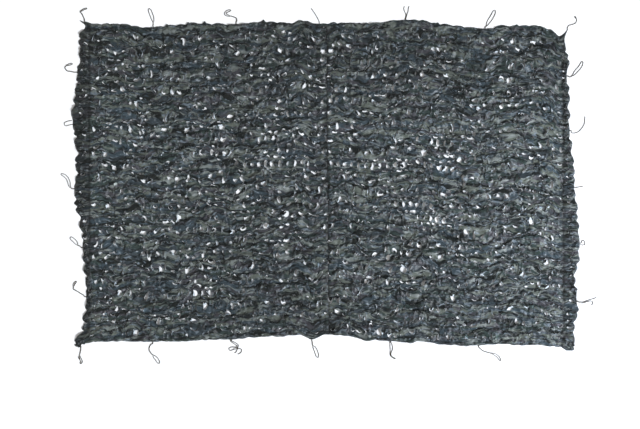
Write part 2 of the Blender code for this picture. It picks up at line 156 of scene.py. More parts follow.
# name, kind, place, aim, power, softness (degrees of a sun, metres of an area lamp), colour
LAMPS = (
    ("key_right", "SUN", (2.8, -1.7, 3.4), (0.0, 0.0, 0.0), 3.1, 12.0, "#f5faff"),
    ("fill_left", "SUN", (-2.8, 1.2, 3.2), (0.0, 0.0, 0.0), 0.4, 50.0, "#fff8ee"),
    ("window_right", "AREA", (2.7, -1.5, 2.2), (0.9, -0.5, 0.0), 58.0, 1.8, "#e6efff"),
)
for name, kind, place, aim, power, softness, tint in LAMPS:
    lamp = bpy.data.lights.new(name, kind)
    lamp.energy = power
    lamp.color = srgb(tint)[:3]
    if kind == "SUN":
        lamp.angle = math.radians(softness)
    else:
        lamp.size = softness
    lamp_item = add_object(name, lamp)
    lamp_item.location = place
    lamp_item.rotation_euler = (Vector(place) - Vector(aim)).to_track_quat("Z", "Y").to_euler()
print("lamps", len(LAMPS))

# %% [markdown]
# ## Where the edges of the net run
# A hem that has been tied and pulled is never straight: it bows between its ties and
# notches in at them. Each side has a short table of points, (along, out) in millimetres
# from the middle of the net, and a smooth line runs through them.

# %% Edge tables
EDGES = {
    "top": ((-1493, 1012), (-1420, 1000), (-1260, 1000), (-1120, 977), (-960, 990), (-790, 1001),
            (-555, 999), (-370, 1012), (-230, 1006), (-160, 1021), (-50, 1000), (60, 1008), (250, 1004),
            (430, 1020), (493, 1024), (580, 1021), (730, 997), (900, 976), (985, 970), (1110, 990),
            (1300, 988), (1380, 968), (1446, 922)),
    "bottom": ((-1512, -990), (-1420, -965), (-1250, -961), (-1075, -966), (-900, -964), (-750, -955),
               (-590, -952), (-450, -940), (-330, -934), (-160, -926), (-84, -950), (-10, -924),
               (60, -926), (150, -932), (240, -956), (400, -962), (510, -972), (590, -962), (730, -985),
               (870, -992), (942, -988), (1060, -980), (1250, -987), (1400, -994), (1471, -1000)),
    "left": ((-905, -1500), (-830, -1494), (-760, -1482), (-690, -1481), (-560, -1488), (-386, -1502),
             (-300, -1506), (-200, -1532), (-100, -1550), (-20, -1555), (60, -1546), (190, -1541),
             (280, -1547), (375, -1564), (450, -1566), (540, -1553), (620, -1544), (700, -1536),
             (780, -1530), (850, -1512), (925, -1520), (976, -1500)),
    "right": ((-955, 1527), (-850, 1532), (-770, 1558), (-713, 1549), (-620, 1543), (-540, 1541),
              (-450, 1562), (-359, 1568), (-280, 1562), (-170, 1556), (-60, 1541), (-9, 1534),
              (70, 1538), (200, 1521), (325, 1506), (420, 1500), (560, 1502), (678, 1487), (760, 1503),
              (830, 1486), (872, 1470), (899, 1463)),
}


def edge_out(side, along):
    """Distance of an edge from the middle: a smooth line through the side's table."""
    table = EDGES[side]
    here = along / MM
    if here <= table[0][0]:
        return table[0][1] * MM
    if here >= table[-1][0]:
        return table[-1][1] * MM
    n = 0
    while here > table[n + 1][0]:
        n += 1
    (a0, v0), (a1, v1) = table[n], table[n + 1]
    return mix(v0, v1, smooth((here - a0) / (a1 - a0))) * MM


print("edge points", sum(len(table) for table in EDGES.values()))

# %% [markdown]
# ### Corners, leaf tips and painted shade
# A pull on its cord draws a corner out: the two upper ones to a thin neck, the two lower
# ones to a knobbly lump of folds. Here and there a single leaf sticks out past the hem.
# A few upright lines where the net was folded away are drawn only as painted shade, and
# the corners and the lower end of the seam, where the cloth is bunched, get painted shade.
# These are few and each is different, so they are listed one by one.

# %% Corners, leaf tips and painted shade, in millimetres
# (width, long side, and the x and y of the point)
CORNERS = (("left", "top", -1533, 1018), ("left", "bottom", -1553, -1000),
           ("right", "top", 1494, 966), ("right", "bottom", 1534, -1026))
# how far round it each corner is drawn out, how much goes along whole, how sharply (a power),
# how crumpled and how round it is, and how far it is pinched to a neck (a share)
CORNER_DRAW = {
    ("left", "top"): (34, 2, 1.2, 5.0, 4, 0.7),
    ("left", "bottom"): (95, 42, 1.0, 11.0, 20, 0.1),
    ("right", "top"): (28, 2, 1.1, 1.5, 2, 0.8),
    ("right", "bottom"): (80, 34, 1.0, 7.0, 26, 0.0),
}
# single leaves that stick out of the hem: (along, how far)
LEAF_TIPS = {
    "left": ((915, 6), (893, 5), (850, 12), (735, 9), (-888, 12), (130, 6)),
    "right": ((610, 6), (-640, 7)),
    "top": ((-984, 10), (-853, 12), (-750, 13), (-386, 10), (694, 8), (1180, 6)),
    "bottom": ((-1468, 13),),
}
TIP_WIDTH = 8.0
# centres of painted shade, where the cloth is bunched: the corners and the lower end of the seam
SHADE_SPOTS = tuple(corner[2:] for corner in CORNERS) + ((14, -905),)
# upright lines of painted shade where the net was folded for packing: (x, from y, to y)
FOLD_SHADE_LINES = ((575, -760, 60), (877, -560, 20), (180, -100, 420), (-905, -600, 150))
print("corners", len(CORNERS), "leaf tips", sum(len(tips) for tips in LEAF_TIPS.values()))

# %% [markdown]
# ## Tie cords
# A tie is a short length of thin twisted cord, sewn or knotted into the hem. Most have
# their end brought back to make a noose, and they lie on the floor as they fell.
# A cord can be a bevelled curve, but the twist of its three plies shows from nearby. So
# the section is a small clover leaf, and the curve's tilt turns it once for each lay
# of the twist. The result is kept as a mesh, with its centre line as the cord's path.

# %% Tie table
# Millimetres: (name, side, place along it, kind, share of the length that a noose's stem
# or an eye's opening takes up, loop width, and the route's points from the hem outwards,
# each with a height where the cord crosses another)
TIES = (
    ("tie_top_0", "top", -1491, "noose", 0.62, 7,
     ((-5, 24), (-18, 50), (-28, 60), (-14, 71), (2, 79), (15, 82))),
    ("tie_top_1", "top", -1068, "noose", 0.26, 19,
     ((1, 17), (1, 32), (-5, 58), (-14, 84), (-26, 112))),
    ("tie_top_2", "top", -555, "noose", 0.52, 11,
     ((4, 20), (1, 34), (-20, 44), (-42, 49), (-60, 54), (-67, 64), (-56, 76), (-32, 84))),
    ("tie_top_3", "top", -41, "plain", 1.0, 0,
     ((-4, 20), (-19, 48), (-33, 70), (-50, 93))),
    ("tie_top_4", "top", 489, "plain", 1.0, 0,
     ((4, 19), (4, 34), (-3, 50), (-8, 68), (-4, 83))),
    ("tie_top_4b", "top", 494, "plain", 1.0, 0,
     ((4, 19), (7, 34), (13, 50), (15, 66), (19, 83))),
    ("tie_top_5", "top", 983, "noose", 0.17, 21,
     ((9, 16), (22, 41), (40, 68), (53, 93), (60, 113))),
    ("tie_top_6", "corner", 1491, "plain", 1.0, 0,
     ((0, 12), (9, 26), (29, 32), (49, 40), (57, 54), (56, 66), (46, 82))),
    ("tie_left_1", "left", 699, "noose", 0.76, 9,
     ((-20, 1), (-42, 6), (-61, 9), (-74, 22), (-75, 34), (-64, 43), (-47, 49), (-30, 54))),
    ("tie_left_2", "left", 377, "plain", 1.0, 0,
     ((-22, -4), (-44, -8), (-51, -2), (-52, 10), (-40, 17), (-22, 22), (-6, 24))),
    ("tie_left_3", "left", -20, "noose", 0.18, 15,
     ((-15, 2), (-28, 17), (-33, 41), (-43, 64), (-60, 81), (-82, 90))),
    ("tie_left_4", "left", -383, "noose", 0.36, 19,
     ((-16, 7), (-32, 17), (-50, 39), (-77, 63))),
    ("tie_left_5", "left", -687, "noose", 0.76, 9,
     ((-16, 9), (-40, 24), (-66, 40), (-79, 47), (-78, 62), (-74, 80), (-60, 95))),
    ("tie_bottom_0", "bottom", -1514, "noose", 0.56, 10,
     ((-1, -26), (-6, -48), (-9, -62), (-3, -80), (4, -98), (-4, -110))),
    ("tie_bottom_1", "bottom", -1070, "noose", 0.62, 18,
     ((-15, -20), (-23, -43), (-15, -64), (9, -90), (25, -108), (40, -132))),
    ("tie_bottom_2", "bottom", -589, "plain", 1.0, 0,
     ((4, -14), (20, -24), (36, -36), (43, -50), (40, -63), (33, -76), (24, -82))),
    ("tie_bottom_2b", "bottom", -583, "plain", 1.0, 0,
     ((5, -11, 0), (22, -18, 1), (42, -32, 4), (39, -45, 5), (22, -46, 4), (-2, -46, 0),
      (-16, -54, 0), (-10, -67, 0), (8, -62, 1), (26, -56, 5), (44, -55, 5), (58, -57, 1), (62, -69, 0),
      (54, -82, 0), (38, -90, 0))),
    ("tie_bottom_3", "bottom", -87, "noose", 0.36, 19,
     ((3, -18), (4, -36), (17, -55), (28, -80), (37, -112))),
    ("tie_bottom_4", "bottom", 398, "eye", 0.62, 15,
     ((4, -20), (6, -48), (2, -70), (1, -84), (10, -96), (31, -108))),
    ("tie_bottom_5", "bottom", 943, "noose", 0.60, 12,
     ((9, -18), (30, -34), (66, -45), (94, -53), (118, -68), (136, -94))),
    ("tie_right_1", "right", 676, "noose", 0.27, 18,
     ((18, -6), (38, 5), (56, 27), (78, 51), (90, 71), (97, 91))),
    ("tie_right_2", "right", 340, "plain", 1.0, 0,
     ((12, -14), (30, -16), (54, -7), (72, 11), (86, 32), (92, 55), (94, 86))),
    ("tie_right_3", "right", -12, "plain", 1.0, 0,
     ((18, 1), (34, 4), (52, 7))),
    ("tie_right_4", "right", -356, "plain", 1.0, 0,
     ((11, 11), (22, 18), (29, 8), (31, -8), (16, -12), (3, -9))),
    ("tie_right_5", "right", -713, "plain", 1.0, 0,
     ((18, -4), (38, -6), (60, 1), (84, 9), (104, 14), (121, 22))),
    ("tie_right_5b", "right", -719, "plain", 1.0, 0,
     ((18, -5), (38, -7), (61, 0), (82, 5), (95, 4), (98, -6), (92, -22))),
)
CORD_D = 3.8 * MM
CORD_LIFT = 0.15 * MM            # air under a cord that lies on the floor
CORD_POINT = 2.2 * MM            # between two points of a finished centre line
ROUTE_POINTS = 90                # points of a route before it is doubled into its loop
SEAT_GAP = 0.3 * MM              # between a cord's end and the hem
SEAT_HALF = 9.5 * MM             # half of the hem that one tie holds still
SEAT_STEP = 3.0 * MM             # the first points go straight out of the hem
CORNER_SEAT = 962.0 * MM         # y of the one cord that starts at a drawn-out corner
PAIR = 5.0 * MM                  # between two strands that lie side by side
TWIST_LAY = 11.0 * MM            # length of one turn of the plies
KNOTTED = ("tie_top_6", "tie_bottom_0")
OUTWARD = {"top": (0, 1), "bottom": (0, -1), "left": (-1, 0), "right": (1, 0), "corner": (0, 1)}


def seats(side):
    """Where the ties of one side sit, without their second strands."""
    return [row[2] * MM for row in TIES if row[1] == side and not row[0].endswith("b")]


print("cords", len(TIES), "seats", {side: len(seats(side)) for side in EDGES})

# %% Routes: smooth curves through the given points
def even(dense, count):
    """The same line, read at even distances."""
    steps = [0.0]
    for a, b in zip(dense, dense[1:]):
        steps.append(steps[-1] + (b - a).length)
    out, n = [], 0
    for k in range(count):
        want = steps[-1] * k / (count - 1)
        while n < len(steps) - 2 and steps[n + 1] < want:
            n += 1
        span = max(1e-9, steps[n + 1] - steps[n])
        out.append(dense[n].lerp(dense[n + 1], (want - steps[n]) / span))
    return out


def spline(points, count):
    """A smooth curve through a few points."""
    dense, last = [], len(points) - 1
    for n in range(last):
        p0, p1, p2, p3 = points[max(0, n - 1)], points[n], points[n + 1], points[min(last, n + 2)]
        for k in range(12):
            t = k / 12.0
            bend = 2.0 * p0 - 5.0 * p1 + 4.0 * p2 - p3
            swing = 3.0 * p1 - p0 - 3.0 * p2 + p3
            dense.append(0.5 * (2.0 * p1 + (p2 - p0) * t + bend * t * t + swing * t * t * t))
    dense.append(points[last].copy())
    return even(dense, count)


def run_length(points):
    return sum((b - a).length for a, b in zip(points, points[1:]))


def rounded_off(t, start):
    """1 up to start, then down to 0 at 1, as the end of an ellipse."""
    return math.sqrt(max(0.0, 1.0 - ((t - start) / (1.0 - start)) ** 2)) if t > start else 1.0


def tie_route(kind, share, width, middle):
    """Centre line of a cord, from the middle line of its tie.

    A noose is a stem of two strands and then a loop, an eye opens at the hem and closes
    again, and a plain one is a single strand."""
    if kind == "plain":
        return middle
    count, near, far = len(middle), [], []
    for n, p in enumerate(middle):
        t = n / (count - 1)
        ahead = (middle[min(count - 1, n + 1)] - middle[max(0, n - 1)]).normalized()
        across = Vector((-ahead.y, ahead.x, 0.0))
        if kind == "eye":
            gap = mix(PAIR, width * MM, math.sin(math.pi * min(1.0, t / share)) ** 1.2)
            gap *= rounded_off(t, 0.94)
        elif t < share:
            gap = PAIR
        else:
            s = (t - share) / (1.0 - share)
            grown = math.sin(math.pi * min(1.0, s * 1.25)) ** 0.8 if s < 0.4 else 1.0
            gap = mix(PAIR, max(PAIR, width * MM), grown)
            gap *= rounded_off(s, 0.75)
        near.append(p + across * gap / 2.0)
        far.append(p - across * gap / 2.0)
    if kind == "eye":
        return near + far[::-1][1:]
    start = int(share * (count - 1))
    return middle[:max(1, start - 1)] + near[start:] + far[start + 1:][::-1][1:]


def cord_path(side, along, kind, share, width, route):
    """The cord's centre line on the floor, from just off the hem."""
    outward = Vector((*OUTWARD[side], 0.0))
    if side == "corner":
        seat = Vector((along * MM, CORNER_SEAT, 0.0))
    else:
        own = min(seats(side), key=lambda s: abs(s - along * MM))
        out = edge_out(side, own)
        seat = Vector((along * MM, out, 0.0) if side in ("top", "bottom") else (out, along * MM, 0.0))
    start = seat + outward * SEAT_GAP + Vector((0.0, 0.0, CORD_D / 2.0 + CORD_LIFT))
    points = [start + outward * k * SEAT_STEP for k in range(4)]
    for step in route:
        lift = step[2] if len(step) > 2 else 0.0
        points.append(start + Vector((step[0] * MM, step[1] * MM, lift * MM)))
    return tie_route(kind, share, width, spline(points, ROUTE_POINTS))


# %% [markdown]
# ### What the cord is
# Twisted polyester cord of about 4 mm, dyed dark olive brown and a little dusty. It is
# matt and rough, so the eye sees the grooves between its three plies and no highlight.
# A twist drawn on a round tube would look flat from nearby. Here the grooves are in the
# mesh, so the material adds only the dust and the fuzz of the fibres.

# %% Cord material
DUST_PATCH, FIBRE = 9.0 * MM, 0.5 * MM
twine, tree, shader = new_material("twisted_polyester_cord")
where = node(tree, "ShaderNodeTexCoord").outputs["Object"]
dust = node(tree, "ShaderNodeTexNoise", {"Vector": where, "Scale": 1.0 / DUST_PATCH, "Detail": 3.0})
fibre = node(tree, "ShaderNodeTexNoise", {"Vector": where, "Scale": 1.0 / FIBRE, "Detail": 2.0})
tint = node(tree, "ShaderNodeMix", {0: dust.outputs["Fac"], 6: srgb("#2a2210"), 7: srgb("#443922")},
            data_type="RGBA")
relief = node(tree, "ShaderNodeBump", {"Height": fibre.outputs["Fac"], "Distance": FIBRE / 2.0,
                                       "Strength": 0.6})
tree.links.new(tint.outputs[2], shader.inputs["Base Color"])
tree.links.new(relief.outputs["Normal"], shader.inputs["Normal"])
shader.inputs["Roughness"].default_value = 0.8
shader.inputs["Specular IOR Level"].default_value = 0.2


# %% Section, thickness and twist of a cord
def clover_profile(radius, sides=12):
    """The section of a three-ply cord: a circle with three shallow grooves."""
    data = bpy.data.curves.new("cord_section", "CURVE")
    data.dimensions = "2D"
    line = data.splines.new("POLY")
    line.points.add(sides - 1)
    line.use_cyclic_u = True
    for n, point in enumerate(line.points):
        angle = 2.0 * math.pi * n / sides
        r = radius * (1.05 + 0.11 * math.cos(3.0 * angle))
        point.co = (r * math.cos(angle), r * math.sin(angle), 0.0, 1.0)
    return add_object("cord_section", data)


def thickness(kind, share, t, knotted):
    """Thickness of a cord at a share of its length: doubled stems and end knots are thicker."""
    size = 1.0
    if kind in ("noose", "eye"):
        stem = share / (2.0 - share) if kind == "noose" else 0.0
        size += 0.32 * smooth((stem - t) / 0.04 + 0.5)
    if knotted:
        size += 0.9 * smooth((t - 0.86) / 0.05) * (1.0 - 0.5 * smooth((t - 0.97) / 0.03))
    return size


def twisted_cord(name, section, path, sizes):
    """A mesh cord along a path, its section turning with the twist."""
    data = bpy.data.curves.new(name + "_line", "CURVE")
    data.dimensions = "3D"
    data.bevel_mode = "OBJECT"
    data.bevel_object = section
    data.use_fill_caps = True
    line = data.splines.new("POLY")
    line.points.add(len(path) - 1)
    for n, point in enumerate(line.points):
        point.co = (*path[n], 1.0)
        point.radius = sizes[n]
        point.tilt = 2.0 * math.pi * n * CORD_POINT / TWIST_LAY
    guide = add_object(name + "_line", data)
    graph = bpy.context.evaluated_depsgraph_get()
    mesh = bpy.data.meshes.new_from_object(guide.evaluated_get(graph))
    mesh.name = name
    bpy.data.objects.remove(guide, do_unlink=True)
    bm = bmesh.new()
    bm.from_mesh(mesh)
    bmesh.ops.remove_doubles(bm, verts=bm.verts, dist=0.00002)
    bmesh.ops.recalc_face_normals(bm, faces=bm.faces[:])
    bm.to_mesh(mesh)
    bm.free()
    mesh.shade_smooth()
    mesh.materials.clear()
    mesh.materials.append(twine)
    return add_object(name, mesh)


# %% Every cord in its place
LIFT_GROWTH = 1.16           # a clover section reaches this much past its radius
section = clover_profile(CORD_D / 2.0)
cord_lengths = {}
for name, side, along, kind, share, width, route in TIES:
    line = cord_path(side, along, kind, share, width, route)
    total = run_length(line)
    path = even(line, int(round(total / CORD_POINT)) + 1)
    knotted = name in KNOTTED
    sizes = [thickness(kind, share, n / (len(path) - 1), knotted) for n in range(len(path))]
    for p, size in zip(path, sizes):
        p.z += (size * LIFT_GROWTH - 1.0) * CORD_D / 2.0
    cord = twisted_cord("cord_" + name, section, path, sizes)
    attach(cord, "root")
    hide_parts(name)
    cord_lengths[name] = round(total * 1000)
bpy.data.objects.remove(section, do_unlink=True)
print("cords, mm:", cord_lengths)

# %% [markdown]
# ## The lattice of ridges and leaves
# Leaf cutting is a machine's work: the same leaf is cut over and over, about 44 mm apart
# and in rows about 80 mm apart. Laid out, each row bunches up into a ridge. These
# functions say where a point of the flat cloth lies on the floor and how far it rises,
# from its column c, counted in repeats of three leaves, and its row r. An image of the
# leaves could be put on a plain sheet instead, but then no leaf would lift or cast a
# shadow, and nothing would show through.

# %% Lattice sizes
RIDGES, COLUMNS, LEAVES = 24, 11, 3              # rows, repeats in a row, leaves in a repeat
REPEAT, ROW = 132.8 * MM, 80.0 * MM              # one repeat and one row of the flat cloth
RIDGE_LOFT = 15.0 * MM
WANDER = 9.0 * MM                                # how far a ridge strays from its straight line
HEM_BAND = 34.0 * MM                             # hem along the two long sides
HEM_LINE = {"left": -1.461, "right": 1.466}      # stitching of the hems at the two ends, metres
HEM_MIN = 42.0 * MM                              # their least width
SIDE_BUMPS = {"top": 1, "bottom": 2, "left": 3, "right": 4}      # one noise for each side
# where the net is more or less open: (x, y, reach, gain), the first three in millimetres
GAP_ZONES = ((480, 110, 330, 0.55), (620, -140, 240, 0.40), (-330, 90, 420, 0.25), (1250, 150, 420, 0.25),
             (60, 560, 500, 0.15), (-1380, 760, 330, -0.45), (-700, 930, 420, -0.35),
             (1300, 900, 300, -0.35), (-300, -880, 600, -0.35), (1250, -860, 420, -0.20))


# %% Edges with their small bumps, the seam and the hems
def ripple_edge(side, along):
    """The edge with the small bumps that the leaves of the hem make."""
    near = [s for s in seats(side) if abs(along - s) < SEAT_HALF * 1.5]
    if near:
        return edge_out(side, near[0])
    gap = min(abs(along - s) for s in seats(side))
    free = smooth((gap - 2.0 * SEAT_HALF) / (45.0 * MM))
    sign = 1.0 if side in ("top", "right") else -1.0
    bump = 5.0 * MM * wave(along, 0.0, 0.045, SIDE_BUMPS[side])
    return edge_out(side, along) + sign * bump * free


def seam_x(y):
    return 0.010 - 0.007 * y + 0.004 * wave(y, 0.0, 0.30, 9)


def hem_line(side, y):
    edge = edge_out(side, y)
    if side == "left":
        return max(HEM_LINE[side], edge + HEM_MIN)
    return min(HEM_LINE[side], edge - HEM_MIN)


def calm(x, y):
    """How far the cloth may rise: low along the stitched lines, full between them."""
    hem = min(abs(x - HEM_LINE["left"]), abs(x - HEM_LINE["right"]))
    return smooth((hem + 0.012) / 0.09) * smooth((abs(x - seam_x(y)) + 0.008) / 0.07)


# %% Columns, rows and ridges on the floor
def column_x(half, c, y):
    inner = math.sin(math.pi * min(1.0, c / COLUMNS))
    straight = mix(seam_x(y), hem_line(half, y), c / COLUMNS)
    return straight + 0.012 * inner * wave(c * 0.13, y, 0.22, 5)


def row_y(x, r):
    low = edge_out("bottom", x) + HEM_BAND
    high = edge_out("top", x) - HEM_BAND
    inner = smooth(min(r, RIDGES - r) / 1.5)
    side = smooth(min(abs(x + 1.53), abs(x - 1.53)) / 0.2)
    return mix(low, high, r / RIDGES) + WANDER * inner * side * wave(x, r * 0.08, 0.26, 6)


def place(half, c, r, out):
    """Where a point of the cloth lies on the floor."""
    x, y = 0.0, mix(-0.93, 0.97, r / RIDGES)
    for _ in range(2):
        if c <= COLUMNS:
            x = column_x(half, c, y)
        else:
            x = mix(hem_line(half, y), ripple_edge(half, y), (c - COLUMNS) / 2.0)
        y = row_y(x, r)
    if out > 0.0:
        y = mix(y, ripple_edge("top", x), out)
    elif out < 0.0:
        y = mix(y, ripple_edge("bottom", x), -out)
    return x, y


def ridge_size(x, row):
    return RIDGE_LOFT * max(0.25, 0.95 + 0.75 * wave(x, row * 0.61, 0.22, 7)
                            + 0.80 * wave(x, row * 0.37, 0.09, 8))


def local_gain(x, y):
    """How open the net is here: 1 as a rule, more or less in the zones."""
    total = 1.0
    for cx, cy, reach, gain in GAP_ZONES:
        d = math.hypot(x - cx * MM, y - cy * MM) / (reach * MM)
        total += gain * math.exp(-d * d)
    return total


print("ridges", RIDGES, "leaves in a row of one width", COLUMNS * LEAVES)

# %% [markdown]
# ### Rows pulled open
# When a net is spread, a tug lands on a few rows and draws their leaves apart side by
# side, so a line of bright gaps runs across flatter cloth. Chance alone would hardly
# ever put so many wide gaps in line, so these stretches are named one by one.

# %% Rows pulled open, in millimetres
# (y, from x, to x)
OPEN_LINES = ((130, 20, 780), (140, -520, -100), (-100, 400, 650), (509, 1040, 1210), (262, 540, 740),
              (-231, 540, 740), (-404, 740, 970), (349, 30, 220), (-651, -850, -680), (318, -430, -300))
OPEN_REACH, OPEN_RAMP, OPEN_END = 62.0, 24.0, 60.0     # flatter this far, within this, towards its ends
OPEN_LEAVES = 42.0                                     # leaves this near the line stand apart


def pulled(x, y):
    """1 in the middle of a row that was pulled wide open, 0 away from it."""
    most = 0.0
    for level, x0, x1 in OPEN_LINES:
        off = abs(y / MM - level)
        if off < OPEN_REACH:
            ends = smooth((x / MM - x0) / OPEN_END + 0.5) * smooth((x1 - x / MM) / OPEN_END + 0.5)
            most = max(most, smooth((OPEN_REACH - off) / OPEN_RAMP) * ends)
    return most


def in_open_row(x, y):
    return any(abs(y - level * MM) < OPEN_LEAVES * MM and x0 * MM < x < x1 * MM
               for level, x0, x1 in OPEN_LINES)


print("open rows", len(OPEN_LINES))

# %% [markdown]
# ### Lines of the fine mesh
# A leaf's cut has to run along edges of the mesh, and its tongue has to bend smoothly.
# Eight quads across a leaf and twelve up a row are enough for both, and each width stays
# under two hundred thousand triangles.

# %% Lines of the fine cloth mesh
LEAF_QUADS, ROW_QUADS = 8, 12        # mesh columns across one leaf, mesh rows in one row
HEM_COLUMNS, HEM_ROWS = 10, 6        # mesh lines across the hems
HEM_START = COLUMNS * LEAVES * LEAF_QUADS
MESH_COLUMNS = HEM_START + HEM_COLUMNS
MESH_ROWS = RIDGES * ROW_QUADS + 1 + 2 * HEM_ROWS


def column_of(i):
    """Repeat number of a mesh column: past COLUMNS it is in the side hem."""
    if i <= HEM_START:
        return i / (LEAVES * LEAF_QUADS)
    return COLUMNS + 2.0 * (i - HEM_START) / HEM_COLUMNS


def row_of(j):
    """Row number of a mesh row, and how far out it is in the long hems."""
    if j <= HEM_ROWS:
        return 0.0, -(HEM_ROWS - j) / HEM_ROWS
    if j >= MESH_ROWS - HEM_ROWS:
        return float(RIDGES), (j - MESH_ROWS + HEM_ROWS) / HEM_ROWS
    return (j - HEM_ROWS - 0.5) / ROW_QUADS, 0.0


print("mesh lines", MESH_COLUMNS, "by", MESH_ROWS)

# %% [markdown]
# ## Leaf-cut cloth
# On the machine each leaf is a U-shaped cut. The tongue inside the U stays joined at
# one side, and it curls, twists or lies back once the cloth is free, which opens the gap.
# So the cloth starts as one fine grid. Edges of the grid are split along each U, and then
# every tongue is bent about its joined side by its own amount. Cloth simulation could
# curl them too, but a bend worked out for each leaf keeps the thousands of leaves steady
# and lets the wide gaps fall where the solids have theirs.
#
# Each row has two banks of leaves. The lower bank lies in the slope, where the gaps open.
# The upper bank sits on the crest, half a leaf along, and mostly makes curled edges. The
# hems at the two ends hold small leaves, where the cut cloth was folded in.

# %% Planning the leaves
SIDES = ("top", "left", "right", "bottom")       # where a tongue can be joined
# the first number that each bank counts its leaves from, so that no two leaves are alike
FIRST_KEY = {"slope": {"left": 0, "right": 500}, "crest": {"left": 200, "right": 700},
             "hem": {"left": 800, "right": 900}}


def pick(value, *shares):
    """Number of the share that a value between 0 and 1 falls in."""
    for n, share in enumerate(shares):
        if value < share:
            return n
    return len(shares)


def leaf_plan(h, hinge, columns, rows, curl, gain, **marks):
    """One leaf: its own chances h, its joined side, its place in the mesh and its curl."""
    return {"h": h, "hinge": hinge, "a0": columns[0], "a1": columns[1], "k0": rows[0], "k1": rows[1],
            "curl": curl, "gain": gain, "wide": False, "apart": False, "shifted": False, **marks}


def slope_leaf(half, leaf, row):
    """A leaf of the lower bank. Wide gaps fall where the solids are cut through."""
    sign, c = (1 if half == "right" else -1), leaf // LEAVES
    chosen = (c + row) % 2 == 0 and 1 <= row < RIDGES - 1
    wide = chosen and int(LEAVES * hash01(c * sign, row, 1)) % LEAVES == leaf % LEAVES
    h = [hash01(leaf + FIRST_KEY["slope"][half], row, n) for n in range(11, 27)]
    x, y = place(half, (leaf + 0.5) / LEAVES, row + 0.25, 0.0)
    gain = local_gain(x, y) * (1.03 + 1.7 * wave(x, y, 0.11, 31))
    curl = mix(1.5, 2.9, h[2]) if h[1] < 0.68 * gain else mix(0.25, 1.6, h[0]) * gain
    apart = h[1] < 0.80 and in_open_row(x, y)
    wide = wide or apart
    if wide:
        hinge = SIDES[pick(h[8], 0.26, 0.63)]
        tall, span = 5 + pick(h[4], 0.5), 3 + pick(hash01(c * sign, row, 2), 0.25, 0.75)
        curl, start, left = mix(2.2, 3.1, h[0]) if apart else mix(2.0, 2.8, h[0]), 6 - tall, 2
    else:
        shape = pick(h[9], 0.42, 0.66)           # upright, lying or square
        span = (2 + pick(h[6], 0.45), 5, 3 + pick(h[6], 0.4, 0.8))[shape]
        tall = (4 + pick(h[4], 0.4, 0.8), 2 + pick(h[4], 0.6), 3 + pick(h[4], 0.3, 0.75))[shape]
        shares = ((0.22, 0.60, 0.95), (0.60, 0.68, 0.76), (0.45, 0.68, 0.90))[shape]
        hinge = SIDES[pick(h[8], *shares)]
        left, start = 1 + int(h[5] * (7 - span)), int(h[3] * (7 - tall)) + (3 if h[7] < 0.28 else 0)
    left += LEAF_QUADS * leaf
    return leaf_plan(h, hinge, (left, left + span), (start, start + tall), curl, gain,
                     wide=wide, apart=apart, shifted=start + tall > 6 and not wide)


def crest_leaf(half, leaf, row, before, after):
    """A leaf of the upper bank, between two of the lower one."""
    h = [hash01(leaf + FIRST_KEY["crest"][half], row, n) for n in range(41, 57)]
    gain = (before["gain"] + after["gain"]) / 2.0
    curl = mix(1.4, 2.6, h[2]) if h[1] < 0.46 * gain else mix(0.2, 1.3, h[0]) * gain
    room, span = (3, 5) if h[6] < 0.6 else (5, 3)
    left, start = LEAF_QUADS * leaf + 5 + int(h[5] * room), 7 + int(h[3] * 2)
    right, end = min(left + span, LEAF_QUADS * leaf + 11), min(ROW_QUADS - 1, start + 2 + pick(h[4], 0.5))
    return leaf_plan(h, SIDES[pick(h[8], 0.50, 0.58, 0.66)], (left, right), (start, end), curl, gain)


def hem_leaf(half, row, upper):
    """A small leaf in the side hem, where the cut cloth was folded in."""
    h = [hash01(FIRST_KEY["hem"][half] + upper, row, n) for n in range(71, 87)]
    left, start = HEM_START + 2 + int(3 * h[5]), (7 if upper else 1) + int(2 * h[3])
    return leaf_plan(h, SIDES[pick(h[8], 0.35, 0.6, 0.8)], (left, left + 3 + int(2 * h[6])),
                     (start, start + 3), mix(0.3, 2.3, h[0] ** 1.5), 0.8)


# %% The shape of every leaf
def shape_leaf(f, row):
    """Fill in a leaf's lines of the mesh, its bends and the form of its mouth."""
    f["lo"] = HEM_ROWS + row * ROW_QUADS + f["k0"]
    f["hi"] = HEM_ROWS + row * ROW_QUADS + f["k1"]
    h = f["h"]
    f["roll"], f["twist"], f["swing"] = mix(0.3, 1.9, h[9]), 1.8 * (h[10] - 0.5), 1.2 * (h[11] - 0.5)
    if f["apart"]:
        spread = mix(-0.20, 0.20, h[12])
    else:
        spread = -0.04 if f["wide"] else mix(-0.20, 0.27, h[12])
    f["grow"] = spread + 0.08 * (f["gain"] - 1.0)
    f["lean"], f["taper"] = 1.6 * (h[13] - 0.5), (0.30 if f["wide"] else 0.9 * (h[14] - 0.45))
    f["lip"], f["phase"] = mix(-1.0, 6.0, h[15]) * MM, 6.28 * h[2]
    f["point"] = mix(0.85, 1.6, hash01(f["a1"], f["hi"], 28))
    # painted light and shade of the leaf: most are drawn dark, a few much lighter
    f["tone"] = hash01(f["a0"], f["lo"], 29) ** 3


def plan_leaves(half):
    leaves = []
    for row in range(RIDGES):
        slope = [slope_leaf(half, leaf, row) for leaf in range(COLUMNS * LEAVES)]
        crest = [crest_leaf(half, leaf, row, slope[leaf], slope[leaf + 1])
                 for leaf in range(COLUMNS * LEAVES - 1)
                 if not (slope[leaf]["shifted"] or slope[leaf + 1]["shifted"])]
        hem = [hem_leaf(half, row, upper) for upper in (0, 1) if 0 < row < RIDGES - 1]
        for f in slope + crest + hem:
            shape_leaf(f, row)
        leaves += slope + crest + hem
    return leaves


